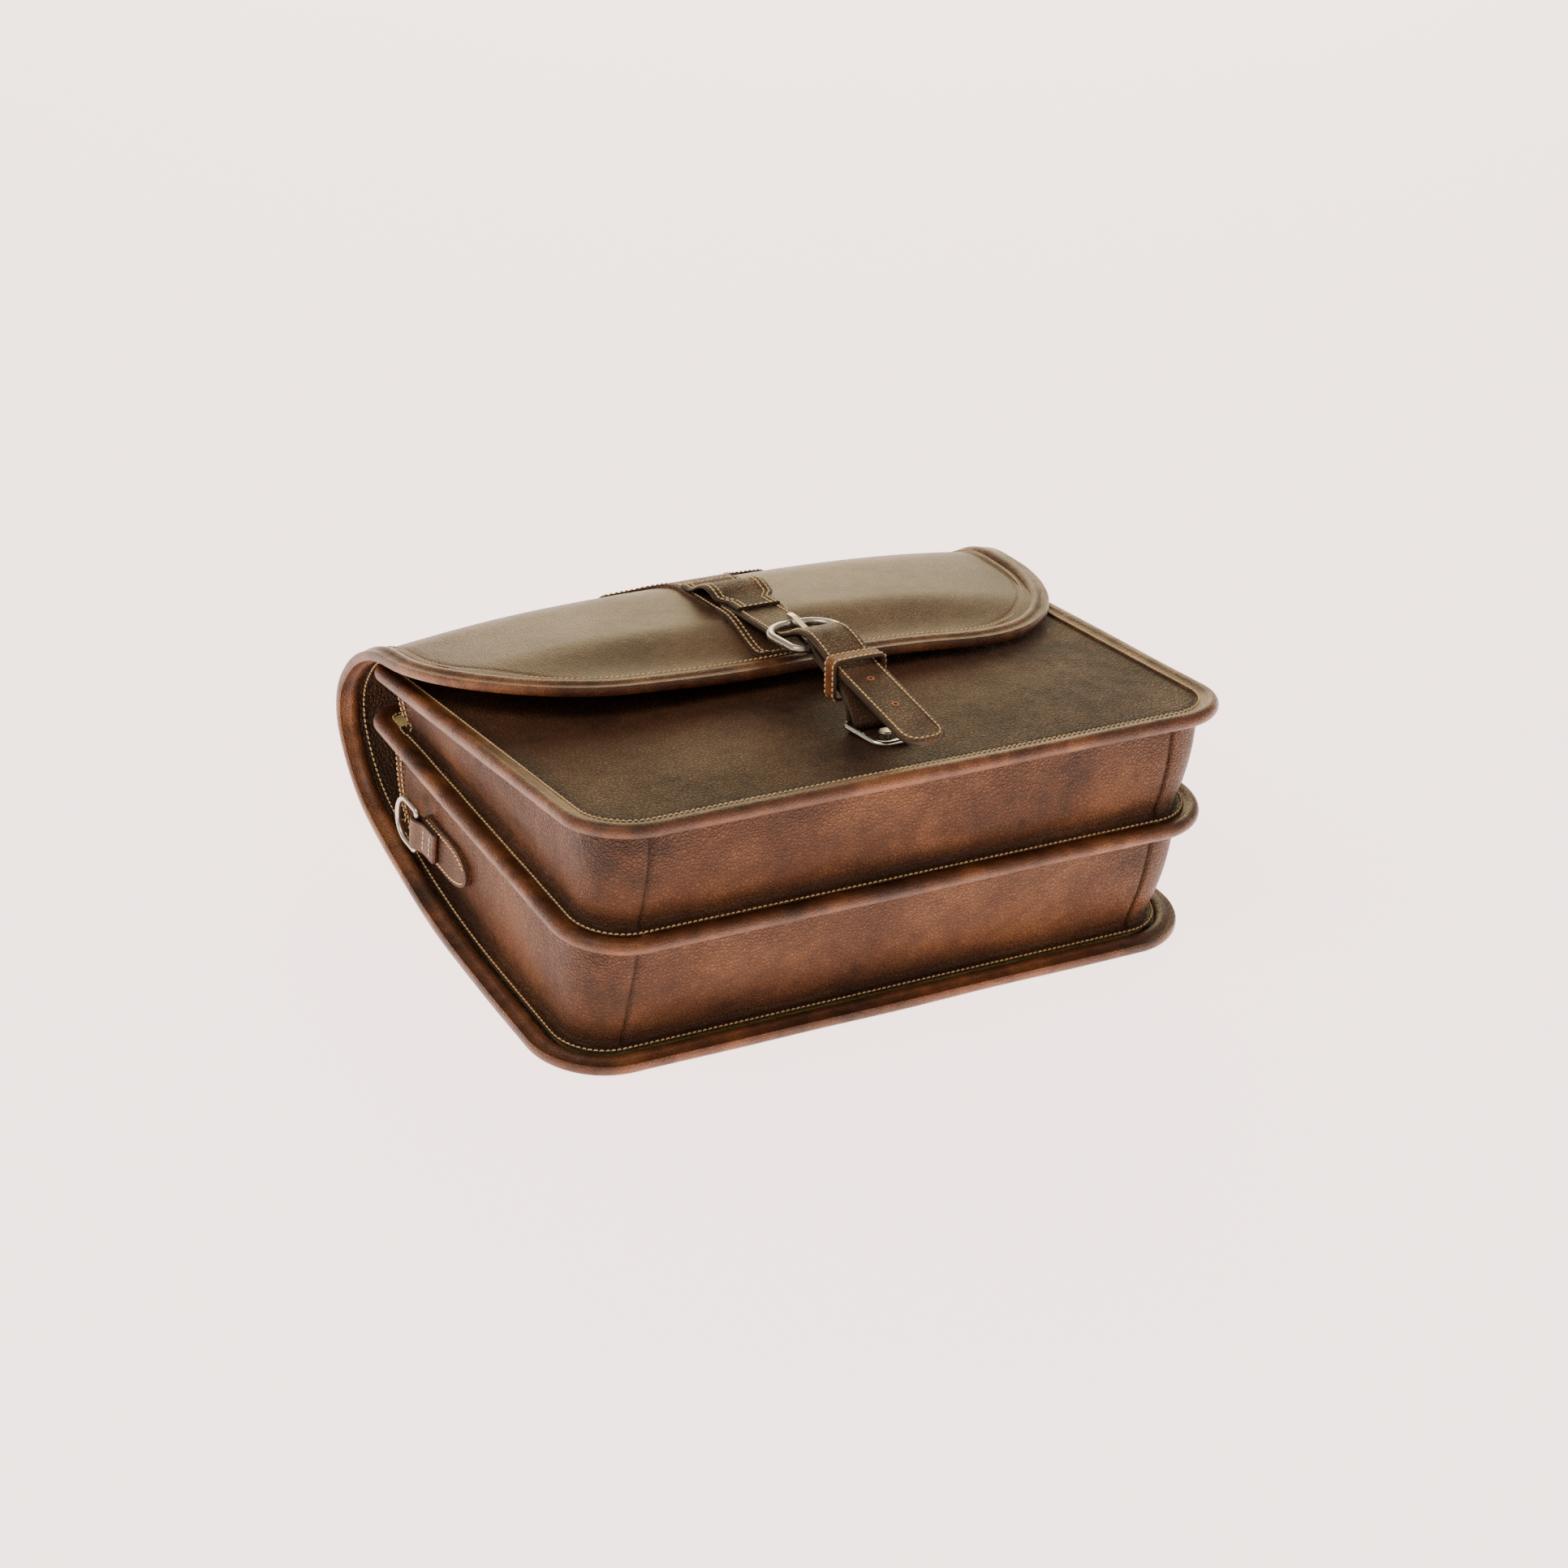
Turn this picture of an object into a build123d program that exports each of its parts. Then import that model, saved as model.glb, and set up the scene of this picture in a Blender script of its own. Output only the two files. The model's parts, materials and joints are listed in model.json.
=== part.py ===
from build123d import *
import os
from math import cos, degrees, radians, sin

# Leather flap-over briefcase lying on its back panel, in millimetres and degrees.
# +X runs across the width, +Y from the bag's bottom to the fold over its mouth, +Z up out of the
# front panel. The origin is on the face that it rests on, REST_LINE from the back's bottom edge.

# --- driving dimensions: the bag ---
WIDTH = 420.0             # between the centrelines of the two side bindings
REAR_DEPTH = 84.0         # back binding to divider binding
FRONT_DEPTH = 76.0        # divider binding to front binding, at the bottom
FRONT_HEIGHT = 298.0      # front panel, bottom binding to mouth binding
DIVIDER_SHORT = 6.0       # the divider's mouth stops this much short of the front panel's height
DIVIDER_DROP = 11.7       # how far the divider's bottom stands out beyond the back's
FRONT_DROP = 13.9         # the same for the front panel
FRONT_TILT = 8.5          # the front panel leans in towards the mouth
REST_LINE = 95.0          # bottom edge of the back to the origin
REST_FLAT = 190.0         # level underside of the back, from its bottom edge

# --- leather, board and lining ---
ROLL = 4.5                # radius of the rolled binding
SEAM = 2.0                # how far a panel's edge stops short of the roll's centreline
LEATHER = 2.0
BOARD = 1.6
LINING = 0.8
CORNER = 38.0             # bottom corners, at the roll's centreline
MOUTH_CORNER = 14.0
GUSSET_CLEAR = 1.25       # gusset's outside, inside the binding's inner edge
GUSSET_WALL = 2.5
GUSSET_SEAM = 38.0        # upright seam, from the side binding
MOUTH_SET = 12.0          # gusset mouth set back from the panel's mouth
HEM_WIDTH = 12.0
HEM_THICK = 0.9

# --- back ramp and fold ---
FLAT_BACK = 110.0         # flat part of the back, from its bottom edge
RAMP_RADIUS = 520.0
RAMP_SETBACK = 15.0       # where the ramp ends, short of the front panel's mouth
FOLD_HEADINGS = (58.0, 118.0)   # direction of the sheet at the second and third bend line
FOLD_MIDDLE_RADIUS = 36.0
FOLD_UPPER_RADIUS = 80.0
FLAP_GAP = 6.4            # between the flap's binding and the front panel's
FLAP_REACH = 110.0        # level part of the flap, to its front binding
FLAP_CORNER = 100.0
FLAP_SKIN = 2.0           # half the flap's thickness at its edges
FLAP_LINING = 1.0
CROWN = 12.0              # how much the flap swells at its middle
CROWN_EDGE = 0.98         # how much of the crown has gone at the sides
CROWN_LAND = 65.0         # half width of the level middle
CROWN_REACH = 66.0        # level part of the crown along the flap
BEND_OFFSET = 0.15        # bend lines outside the roll
BEND_GAP = 0.6            # left open at each bend line

# --- strap base, bridge and strap ---
PATCH = 2.0
STEM_MARGIN = 5.5         # stem beyond the strap on each side
STEM_FLARE = 26.0
CROSSBAR_HALF = 58.0
CROSSBAR_FRONT = 28.0     # crossbar's front edge, behind the start of the level flap
CROSSBAR_TURN = 50.0      # how far the crossbar follows the fold
BRIDGE_THICK = 2.2
BRIDGE_FOOT = 2.0         # rear edge of the bridge, from the start of the level flap
BRIDGE_FOOT_LENGTH = 8.0
BRIDGE_SPAN = 42.0
BRIDGE_BAR = 13.0
BRIDGE_ARCH = 8.0
ANCHOR_LENGTH = 22.0
STRAP_HALF = 15.0
STRAP_THICK = 3.2
STRAP_LENGTH = 198.0      # from the bridge to the tip
STRAP_DROP = 16.0         # tip below the root
STRAP_TIP = 12.0          # corner radius of the tip
HOLE_PITCH = 26.5
HOLE_RADIUS = 1.6

# --- buckle, chape, keeper and clip, placed along the strap ---
BUCKLE_SET = 41.0         # buckle's curved end, from the bridge
BUCKLE_LENGTH = 41.0
BUCKLE_CLEAR = 3.0        # between the strap's edge and the buckle's wire
BUCKLE_FLARE = 2.5
BUCKLE_ROUND = 17.0
WIRE = 2.5                # radius of the buckle's wire
PRONG_HALF = 1.9
PRONG_THICK = 2.6
PRONG_EYE = 1.6
BAR_PLAY = 0.08           # radial play of metal on its bar
PLAY = 0.4                # between strap, chape and metal
CHAPE_INSET = 2.0         # chape's edge inside the strap's
CHAPE_WALL = 2.0
CHAPE_LENGTH = 50.0       # buckle bar to clip bar
KEEPER_SET = 27.0         # keeper, from the buckle bar
KEEPER_LENGTH = 12.0
KEEPER_THICK = 2.0
CLIP_WIRE = 1.8
CLIP_LENGTH = 30.0
CLIP_HALF = 11.0
CLIP_RISE = 8.0           # clip bar above the front panel's mid-plane
STUD_BASE = 7.0
STUD_POST = 3.2
STUD_HEAD = 4.5
STUD_HEIGHT = 6.0

# --- rings and handle ---
RING_SETBACK = 74.0       # bar of the ring, short of the gusset's mouth
RING_HALF = 13.8
RING_LENGTH = 27.0
RING_WIRE = 1.8
RING_LIFT = 6.0           # ring's bar outside the gusset's face
TAB_HALF = 10.0
TAB_LENGTH = 22.0
LEAF_LENGTH = 60.0
LEAF_HALF = 13.0
HANDLE_HALF = 48.0
HANDLE_REACH = 36.0
HANDLE_ROLL = 6.5
HANDLE_BEND = 20.0
HANDLE_HANG = -40.0       # direction in which the handle stands off the fold
HANDLE_BASE_TURN = 22.0   # half of the arc that the handle's base covers
HANDLE_PIN = 2.5
EYE_RADIUS = 5.0
MOUNT_LIFT = 8.5          # handle's pin above its base
MOUNT_HALF = 8.0
MOUNT_EAR = 2.5
MOUNT_ROUND = 4.5
MOUNT_PLATE = 1.5

# --- worked out from the driving dimensions ---
half = WIDTH / 2
stack = LEATHER + BOARD + LINING
bottom = -REST_LINE
divider_bottom = bottom - DIVIDER_DROP
front_bottom = bottom - FRONT_DROP
divider_level = ROLL + REAR_DEPTH
front_level = divider_level + FRONT_DEPTH
tall = 2 * front_level
divider_height = FRONT_HEIGHT - DIVIDER_SHORT
stem_half = STRAP_HALF + STEM_MARGIN
chape_half = STRAP_HALF - CHAPE_INSET
buckle_half = STRAP_HALF + BUCKLE_CLEAR + WIRE
panel_edge = half - SEAM
standoff = 2 * ROLL + FLAP_GAP
gusset_face = half - ROLL - GUSSET_CLEAR
gusset_inner = gusset_face - GUSSET_WALL
seam_x = half - GUSSET_SEAM

divider_plane = Plane((0, divider_bottom, divider_level))
tilt_cos = cos(radians(FRONT_TILT))
tilt_sin = sin(radians(FRONT_TILT))
front_plane = Plane(
    (0, front_bottom, front_level), x_dir=(1, 0, 0), z_dir=(0, tilt_sin, tilt_cos)
)


def along(heading):
    """Unit step of the folded sheet in the YZ plane."""
    return Vector(cos(radians(heading)), sin(radians(heading)))


def outward(heading):
    """Unit step out of the folded sheet, away from the bag."""
    return Vector(sin(radians(heading)), -cos(radians(heading)))


def flat(point):
    """A point or step of the YZ plane as a pair, for lines drawn in that plane."""
    return point.X, point.Y


def arc_step(radius, first, last):
    """From one end of an arc of the fold to the other."""
    return (outward(last) - outward(first)) * radius


# ramp of the back: level, then a long arc up to the first bend line
mouth_y = front_bottom + FRONT_HEIGHT * tilt_cos
ramp_start = Vector(bottom + FLAT_BACK, ROLL)
ramp_run = mouth_y - RAMP_SETBACK - ramp_start.X
ramp_turn = degrees(ramp_run / RAMP_RADIUS)
headings = (ramp_turn, *FOLD_HEADINGS, 180 - FRONT_TILT)
bend_1 = ramp_start + arc_step(RAMP_RADIUS, 0, ramp_turn)

# the lowest arc takes the radius that sets the flap's line standoff above the front panel's
flap_normal = outward(headings[3])
upper_steps = arc_step(FOLD_MIDDLE_RADIUS, *headings[1:3]) + arc_step(
    FOLD_UPPER_RADIUS, *headings[2:4]
)
front_corner = Vector(front_bottom, front_level)
short_of_flap = standoff - (bend_1 + upper_steps - front_corner).dot(flap_normal)
lower_radius = short_of_flap / arc_step(1, *headings[0:2]).dot(flap_normal)
fold_radii = (lower_radius, FOLD_MIDDLE_RADIUS, FOLD_UPPER_RADIUS)
bend_2 = bend_1 + arc_step(lower_radius, *headings[0:2])
bend_3 = bend_2 + arc_step(FOLD_MIDDLE_RADIUS, *headings[1:3])
flap_start = bend_3 + arc_step(FOLD_UPPER_RADIUS, *headings[2:4])
bends = (bend_1, bend_2, bend_3)

# flap_plane lies in the flap, its y back towards the fold; in a side_plane, x runs from the fold
# towards the flap's front edge and y stands out of the flap
forward = Vector(0, along(headings[3]).X, along(headings[3]).Y)
flap_up = Vector(0, flap_normal.X, flap_normal.Y)
flap_plane = Plane((0, flap_start.X, flap_start.Y), x_dir=(1, 0, 0), z_dir=flap_up)


def side_plane(x=0.0):
    return Plane((x, flap_start.X, flap_start.Y), x_dir=forward, z_dir=(-1, 0, 0))


def strap_point(place, level):
    """A point in the middle plane, from its place along the flap and its level above it."""
    return Vector(0, flap_start.X, flap_start.Y) + forward * place + flap_up * level


# the crown's arc over the fold, from the level middle down to the third bend line
crown_top = FLAP_SKIN + CROWN
fold_turn = headings[3] - headings[2] - degrees(BEND_GAP / 2 / FOLD_UPPER_RADIUS)


def fold_end(offset):
    """Where the flap starts at the third bend line, in a side_plane."""
    radius = FOLD_UPPER_RADIUS + offset
    return -radius * sin(radians(fold_turn)), radius * cos(radians(fold_turn)) - FOLD_UPPER_RADIUS


crown_run, crown_foot = fold_end(FLAP_SKIN)
crown_fall = crown_top - crown_foot
crown_radius = (crown_run**2 + crown_fall**2) / (2 * crown_fall)
crown_slope = CROWN / (FLAP_REACH - CROWN_REACH)
patch_top = crown_top + PATCH
patch_end = FLAP_REACH - 2 * ROLL

# levels and places of the strap and its metal
bar_rear = BRIDGE_FOOT + BRIDGE_FOOT_LENGTH + BRIDGE_SPAN
bar_front = bar_rear + BRIDGE_BAR
strap_root = bar_front + BEND_GAP
strap_tip = bar_front + STRAP_LENGTH
strap_level = patch_top + PLAY + STRAP_THICK / 2
strap_top = strap_level + STRAP_THICK / 2
frame_level = strap_top + PLAY + WIRE
buckle_end = bar_front + BUCKLE_SET
heel = buckle_end + BUCKLE_LENGTH
heel_rise = frame_level + WIRE + PLAY + CHAPE_WALL + STRAP_THICK
clip_bar = heel + CHAPE_LENGTH
clip_level = CLIP_RISE - standoff
clip_far = clip_bar + CLIP_LENGTH
clip_rest = stack / 2 + CLIP_WIRE + PLAY - standoff
keeper_rear = heel + KEEPER_SET
stud_place = clip_bar + 0.6 * CLIP_LENGTH

# rings and handle
ring_y = bottom + FRONT_HEIGHT - MOUTH_SET - RING_SETBACK
back_inner = ROLL - LEATHER - BOARD
back_top = ROLL - back_inner
ring_z = (back_top + divider_level - stack / 2) / 2
ring_bar = gusset_face + RING_LIFT
crest = bend_2 + arc_step(FOLD_MIDDLE_RADIUS, headings[1], 90)
handle_outer = FLAP_SKIN + PATCH
handle_pin = Vector(0, crest.X + handle_outer + MOUNT_LIFT, crest.Y)
handle_out = Vector(0, along(HANDLE_HANG).X, along(HANDLE_HANG).Y)
handle_plane = Plane(
    handle_pin, x_dir=(1, 0, 0), z_dir=Vector(1, 0, 0).cross(handle_out)
)

for number in range(3):
    hinge = bends[number] + outward(headings[number]) * (ROLL + BEND_OFFSET)
    print(f"bend {number + 1}: y {hinge.X:.3f} z {hinge.Y:.3f}")
print(f"lower fold radius {lower_radius:.2f}, crown radius {crown_radius:.2f}")
for name, point in (
    ("strap root", strap_point(bar_front + BEND_GAP / 2, strap_top)),
    ("buckle bar", strap_point(heel, frame_level)),
    ("clip bar", strap_point(clip_bar, clip_level)),
    ("ring bar", Vector(ring_bar, ring_y, ring_z)),
    ("handle pin", handle_pin),
):
    print(f"{name}: x {point.X:.3f} y {point.Y:.3f} z {point.Z:.3f}")


def finish(part, label):
    """Name a finished piece and write it out."""
    part.label = label
    export_step(part, f"parts/{label}.step")


def panel_outline(plane, height, inset):
    """Outline of a panel: round bottom corners, small mouth corners."""
    with BuildSketch(plane) as outline:
        with Locations((0, height / 2)):
            Rectangle(2 * (half - inset), height - 2 * inset)
        corners = outline.vertices().group_by(Axis.Y)
        fillet(corners[0], CORNER - inset)
        fillet(corners[-1], MOUTH_CORNER - inset)
    return outline.sketch


def panel_layer(label, plane, height, low, high, inset):
    """One sheet of a panel's stack, between two levels above the roll's plane."""
    with BuildPart() as layer:
        extrude(panel_outline(plane.offset(low), height, inset), amount=high - low)
    finish(layer.part, label)


def binding_loop(label, plane, height):
    """Rolled binding right round a flat panel, with the slot that the panel is sewn into."""
    with BuildPart() as roll:
        with BuildLine(plane):
            edge = FilletPolyline(
                (-half, 0), (half, 0), (half, height), (-half, height),
                radius=(CORNER, CORNER, MOUTH_CORNER, MOUTH_CORNER),
                close=True,
            )
        with BuildSketch(Plane(edge @ 0, z_dir=edge % 0)):
            Circle(ROLL)
        sweep()
        extrude(
            panel_outline(plane.offset(-stack / 2), height, SEAM), amount=stack, mode=Mode.SUBTRACT
        )
    finish(roll.part, label)


def back_band(inner, outer, level_to=None):
    """Section of the back, up its ramp, between two offsets from the roll's centreline.

    The underside follows the ramp, or stays level up to level_to and then rises to its end.
    """
    end = flat(bend_1 + outward(ramp_turn) * outer)
    start = bottom - FRONT_DROP
    with BuildSketch(Plane.YZ) as band:
        with BuildLine():
            Line((start, ROLL - inner), (ramp_start.X, ROLL - inner))
            top = JernArc((ramp_start.X, ROLL - inner), (1, 0), RAMP_RADIUS + inner, ramp_turn)
            foot = (level_to or ramp_start.X, ROLL - outer)
            Line((start, ROLL - inner), (start, ROLL - outer))
            Line((start, ROLL - outer), foot)
            TangentArc(foot, end, tangent=(1, 0))
            Line(top @ 1, end)
        make_face()
    return band.sketch


def back_sheet(label, inner, outer, inset, level_to=None):
    """A sheet of the back, with round corners at the bottom."""
    length = bend_1.X + 2 * ROLL - bottom
    with BuildPart() as sheet:
        extrude(back_band(inner, outer, level_to), amount=half, both=True)
        with BuildSketch(Plane.XY.offset(-ROLL)) as outline:
            with Locations((0, bottom + inset + length / 2)):
                Rectangle(2 * (half - inset), length)
            fillet(outline.vertices().group_by(Axis.Y)[0], CORNER - inset)
        extrude(amount=tall, mode=Mode.INTERSECT)
    finish(sheet.part, label)
    return sheet.part


def stretch(number):
    """Start, heading and turn of one stretch of the fold, short of its bend lines by half the gap."""
    radius = fold_radii[number]
    gap = degrees(BEND_GAP / 2 / radius)
    first = headings[number] + gap
    begin = bends[number] + arc_step(radius, headings[number], first)
    return begin, first, headings[number + 1] - gap - first


def fold_band(number, inner, outer, first=None, last=None):
    """Section of a stretch of the fold between two offsets, or of a part of it between two headings."""
    begin, heading, turn = stretch(number)
    if first is not None:
        begin = begin + arc_step(fold_radii[number], heading, first)
        heading, turn = first, last - first
    with BuildSketch(Plane.YZ) as band:
        with BuildLine():
            arcs = [
                JernArc(
                    flat(begin + outward(heading) * offset),
                    flat(along(heading)),
                    fold_radii[number] + offset,
                    turn,
                )
                for offset in (inner, outer)
            ]
            Line(arcs[0] @ 0, arcs[1] @ 0)
            Line(arcs[0] @ 1, arcs[1] @ 1)
        make_face()
    return band.sketch


def fold_sheet(label, number, inner, outer, half_width):
    """A sheet of the fold: its section drawn out to both sides."""
    with BuildPart() as sheet:
        extrude(fold_band(number, inner, outer), amount=half_width, both=True)
    finish(sheet.part, label)
    return sheet.part


def fold_roll(label, number, side, sewn_in):
    """The binding along one side of a stretch of the fold."""
    begin, heading, turn = stretch(number)
    with BuildPart() as roll:
        with BuildLine(Plane.YZ.offset(side * half)):
            edge = JernArc(flat(begin), flat(along(heading)), fold_radii[number], turn)
        with BuildSketch(Plane(edge @ 0, z_dir=edge % 0)):
            Circle(ROLL)
        sweep()
        for sheet in sewn_in:
            add(sheet, mode=Mode.SUBTRACT)
    finish(roll.part, label)


os.makedirs("parts", exist_ok=True)

# --- back, its lining and its binding ---
back_panel = back_sheet("back_panel", back_inner, ROLL, SEAM, bottom + REST_FLAT)
back_sheet("back_lining", back_inner - LINING, back_inner, half - gusset_inner + PLAY)

with BuildPart() as back_binding:
    with BuildLine(Plane.XY.offset(ROLL)):
        edge = FilletPolyline(
            (-half, ramp_start.X), (-half, bottom), (half, bottom), (half, ramp_start.X),
            radius=CORNER,
        )
    with BuildSketch(Plane(edge @ 0, z_dir=edge % 0)):
        Circle(ROLL)
    sweep()
    for side in (-1, 1):
        with BuildLine(Plane.YZ.offset(side * half)):
            edge = JernArc(flat(ramp_start), (1, 0), RAMP_RADIUS, ramp_turn)
        with BuildSketch(Plane(edge @ 0, z_dir=edge % 0)):
            Circle(ROLL)
        sweep()
    add(back_panel, mode=Mode.SUBTRACT)
finish(back_binding.part, "back_binding")

# --- divider and front panel: lining, board and leather, sewn into a binding ---
for name, plane, height in (
    ("divider", divider_plane, divider_height),
    ("front", front_plane, FRONT_HEIGHT),
):
    levels = (-stack / 2, LINING - stack / 2, stack / 2 - LEATHER, stack / 2)
    for layer, low, high in zip(("lining", "board", "leather"), levels, levels[1:]):
        panel_layer(f"{name}_{layer}", plane, height, low, high, SEAM)
    binding_loop(f"{name}_binding", plane, height)


# --- gussets: a U of leather from panel to panel, pieced at two upright seams ---
def gusset_outline(plane, inset, mouth):
    """Plan of the gusset's outside or inside: round bottom corners, straight at the mouth."""
    with BuildSketch(plane) as outline:
        with Locations((0, (inset + mouth) / 2)):
            Rectangle(2 * (half - inset), mouth - inset)
        fillet(outline.vertices().group_by(Axis.Y)[0], CORNER - inset)
    return outline.sketch


def gusset(label, low_plane, low_mouth, high_plane, high_mouth):
    """Left end, bottom strip and right end, with the hems of the mouth."""
    with BuildPart() as wall:
        for inset, past, mode in (
            (half - gusset_face, 0, Mode.ADD),
            (half - gusset_inner, CORNER, Mode.SUBTRACT),
        ):
            plans = [
                gusset_outline(low_plane, inset, low_mouth + past),
                gusset_outline(high_plane, inset, high_mouth + past),
            ]
            loft(plans, ruled=True, mode=mode)
        extrude(
            back_band(back_inner, ROLL + 2 * CORNER), amount=half, both=True, mode=Mode.SUBTRACT
        )
    for end, middle, width in (
        ("left", -(half + seam_x) / 2, GUSSET_SEAM),
        ("bottom", 0, 2 * seam_x),
        ("right", (half + seam_x) / 2, GUSSET_SEAM),
    ):
        with BuildPart() as piece:
            add(wall.part)
            with BuildSketch():
                with Locations((middle, 0)):
                    Rectangle(width, 2 * FRONT_HEIGHT)
            extrude(amount=tall, mode=Mode.INTERSECT)
        finish(piece.part, f"{label}_gusset_{end}")

    low = low_plane.from_local_coords((0, low_mouth, 0))
    high = high_plane.from_local_coords((0, high_mouth, 0))
    for end, side in (("left", -1), ("right", 1)):
        with BuildPart() as hem:
            with BuildSketch(Plane.YZ.offset(side * gusset_face)):
                with BuildLine():
                    Polyline(
                        (low.Y - HEM_WIDTH, low.Z),
                        (low.Y, low.Z),
                        (high.Y, high.Z),
                        (high.Y - HEM_WIDTH, high.Z),
                        close=True,
                    )
                make_face()
            extrude(amount=side * HEM_THICK)
            extrude(
                back_band(-ROLL, ROLL + 2 * CORNER), amount=half, both=True, mode=Mode.SUBTRACT
            )
        finish(hem.part, f"{label}_hem_{end}")


gusset(
    "rear",
    Plane((0, bottom, 0)),
    bend_1.X - MOUTH_SET - bottom,
    divider_plane.offset(-stack / 2),
    divider_height - MOUTH_SET,
)
gusset(
    "front",
    divider_plane.offset(stack / 2),
    divider_height - MOUTH_SET,
    front_plane.offset(-stack / 2),
    FRONT_HEIGHT - MOUTH_SET,
)

# --- shoulder-strap rings: a leaf of leather on each gusset end, a tab and the ring ---
tab_inside = PATCH
tab_outside = RING_LIFT + RING_WIRE + BAR_PLAY + CHAPE_WALL
for end, side in (("left", -1), ("right", 1)):
    with BuildPart() as leaf:
        with BuildSketch(Plane.YZ.offset(side * gusset_face)) as outline:
            with Locations((ring_y - 2 - LEAF_LENGTH / 2, ring_z)):
                Rectangle(LEAF_LENGTH, 2 * LEAF_HALF)
            fillet(outline.vertices().group_by(Axis.X)[0], LEAF_HALF - 1)
        extrude(amount=side * PATCH)
    finish(leaf.part, f"ring_patch_{end}")

    with BuildPart() as tab:
        with BuildSketch(Plane.XY.offset(ring_z)):
            with Locations((side * ring_bar, ring_y)):
                Circle(tab_outside - RING_LIFT)
            with Locations((side * (gusset_face + tab_inside + 1.5), ring_y - TAB_LENGTH / 2)):
                Rectangle(3, TAB_LENGTH)
            with Locations((side * ring_bar, ring_y)):
                Circle(RING_WIRE + BAR_PLAY, mode=Mode.SUBTRACT)
        extrude(amount=TAB_HALF, both=True)
    finish(tab.part, f"ring_tab_{end}")

    with BuildPart() as ring:
        with BuildLine(Plane.YZ.offset(side * ring_bar)):
            edge = FilletPolyline(
                (ring_y, ring_z - RING_HALF), (ring_y, ring_z + RING_HALF),
                (ring_y + RING_LENGTH, ring_z + RING_HALF),
                (ring_y + RING_LENGTH, ring_z - RING_HALF),
                radius=(2.5, 2.5, RING_HALF - 0.5, RING_HALF - 0.5),
                close=True,
            )
        with BuildSketch(Plane(edge @ 0, z_dir=edge % 0)):
            Circle(RING_WIRE)
        sweep()
    finish(ring.part, f"shoulder_ring_{end}")

# --- the two lower stretches of the fold ---
for number, name in ((0, "lower"), (1, "upper")):
    sheets = (
        fold_sheet(f"flap_leather_{name}", number, FLAP_LINING - FLAP_SKIN, FLAP_SKIN, panel_edge),
        fold_sheet(f"flap_lining_{name}", number, -FLAP_SKIN, FLAP_LINING - FLAP_SKIN, panel_edge),
    )
    for end, side in (("left", -1), ("right", 1)):
        fold_roll(f"flap_binding_{name}_{end}", number, side, sheets)


# --- the flap: last stretch of the fold and the level part, swollen at its middle ---
def flap_outline(inset):
    """Plan of the flap, in its own plane: round front corners, open towards the fold."""
    length = FLAP_REACH - inset + 2 * FOLD_UPPER_RADIUS
    with BuildSketch(flap_plane.offset(-FOLD_UPPER_RADIUS)) as outline:
        with Locations((0, length / 2 - FLAP_REACH + inset)):
            Rectangle(2 * (half - inset), length)
        fillet(outline.vertices().group_by(Axis.Y)[0], FLAP_CORNER - inset)
    return outline.sketch


def flap_section(x, crown, high, low):
    """Section of a sheet of the flap, third bend line to front edge, for one height of crown."""
    with BuildSketch(side_plane(x)) as section:
        with BuildLine():
            for level in (high, low):
                Polyline((0, crown + level), (CROWN_REACH, crown + level), (FLAP_REACH, level))
                TangentArc((0, crown + level), fold_end(level), tangent=(-1, 0))
            Line((FLAP_REACH, high), (FLAP_REACH, low))
            Line(fold_end(high), fold_end(low))
        make_face()
    return section.sketch


def flap_sheet(label, high, low):
    """A sheet of the flap, between two levels above the roll's plane, swollen with its crown."""
    with BuildPart() as sheet:
        sections = [
            flap_section(
                side * (CROWN_LAND + share * (half - CROWN_LAND)),
                CROWN * (1 - CROWN_EDGE * share**2),
                high,
                low,
            )
            for side, share in ((-1, 1), (-1, 0.5), (-1, 0), (1, 0), (1, 0.5), (1, 1))
        ]
        loft(sections, ruled=True)
        extrude(flap_outline(SEAM), amount=2 * FOLD_UPPER_RADIUS, mode=Mode.INTERSECT)
    finish(sheet.part, label)
    return sheet.part


flap_sheets = (
    flap_sheet("flap_leather_front", FLAP_SKIN, FLAP_LINING - FLAP_SKIN),
    flap_sheet("flap_lining_front", FLAP_LINING - FLAP_SKIN, -FLAP_SKIN),
)

with BuildPart() as flap_binding:
    with BuildLine(flap_plane):
        edge = FilletPolyline(
            (-half, 0), (-half, -FLAP_REACH), (half, -FLAP_REACH), (half, 0), radius=FLAP_CORNER
        )
    with BuildSketch(Plane(edge @ 0, z_dir=edge % 0)):
        Circle(ROLL)
    sweep()
    for side in (-1, 1):
        with BuildLine(side_plane(side * half)):
            edge = JernArc((0, 0), (-1, 0), FOLD_UPPER_RADIUS, fold_turn)
        with BuildSketch(Plane(edge @ 0, z_dir=edge % 0)):
            Circle(ROLL)
        sweep()
    for sheet in flap_sheets:
        add(sheet, mode=Mode.SUBTRACT)
finish(flap_binding.part, "flap_binding_front")

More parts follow.
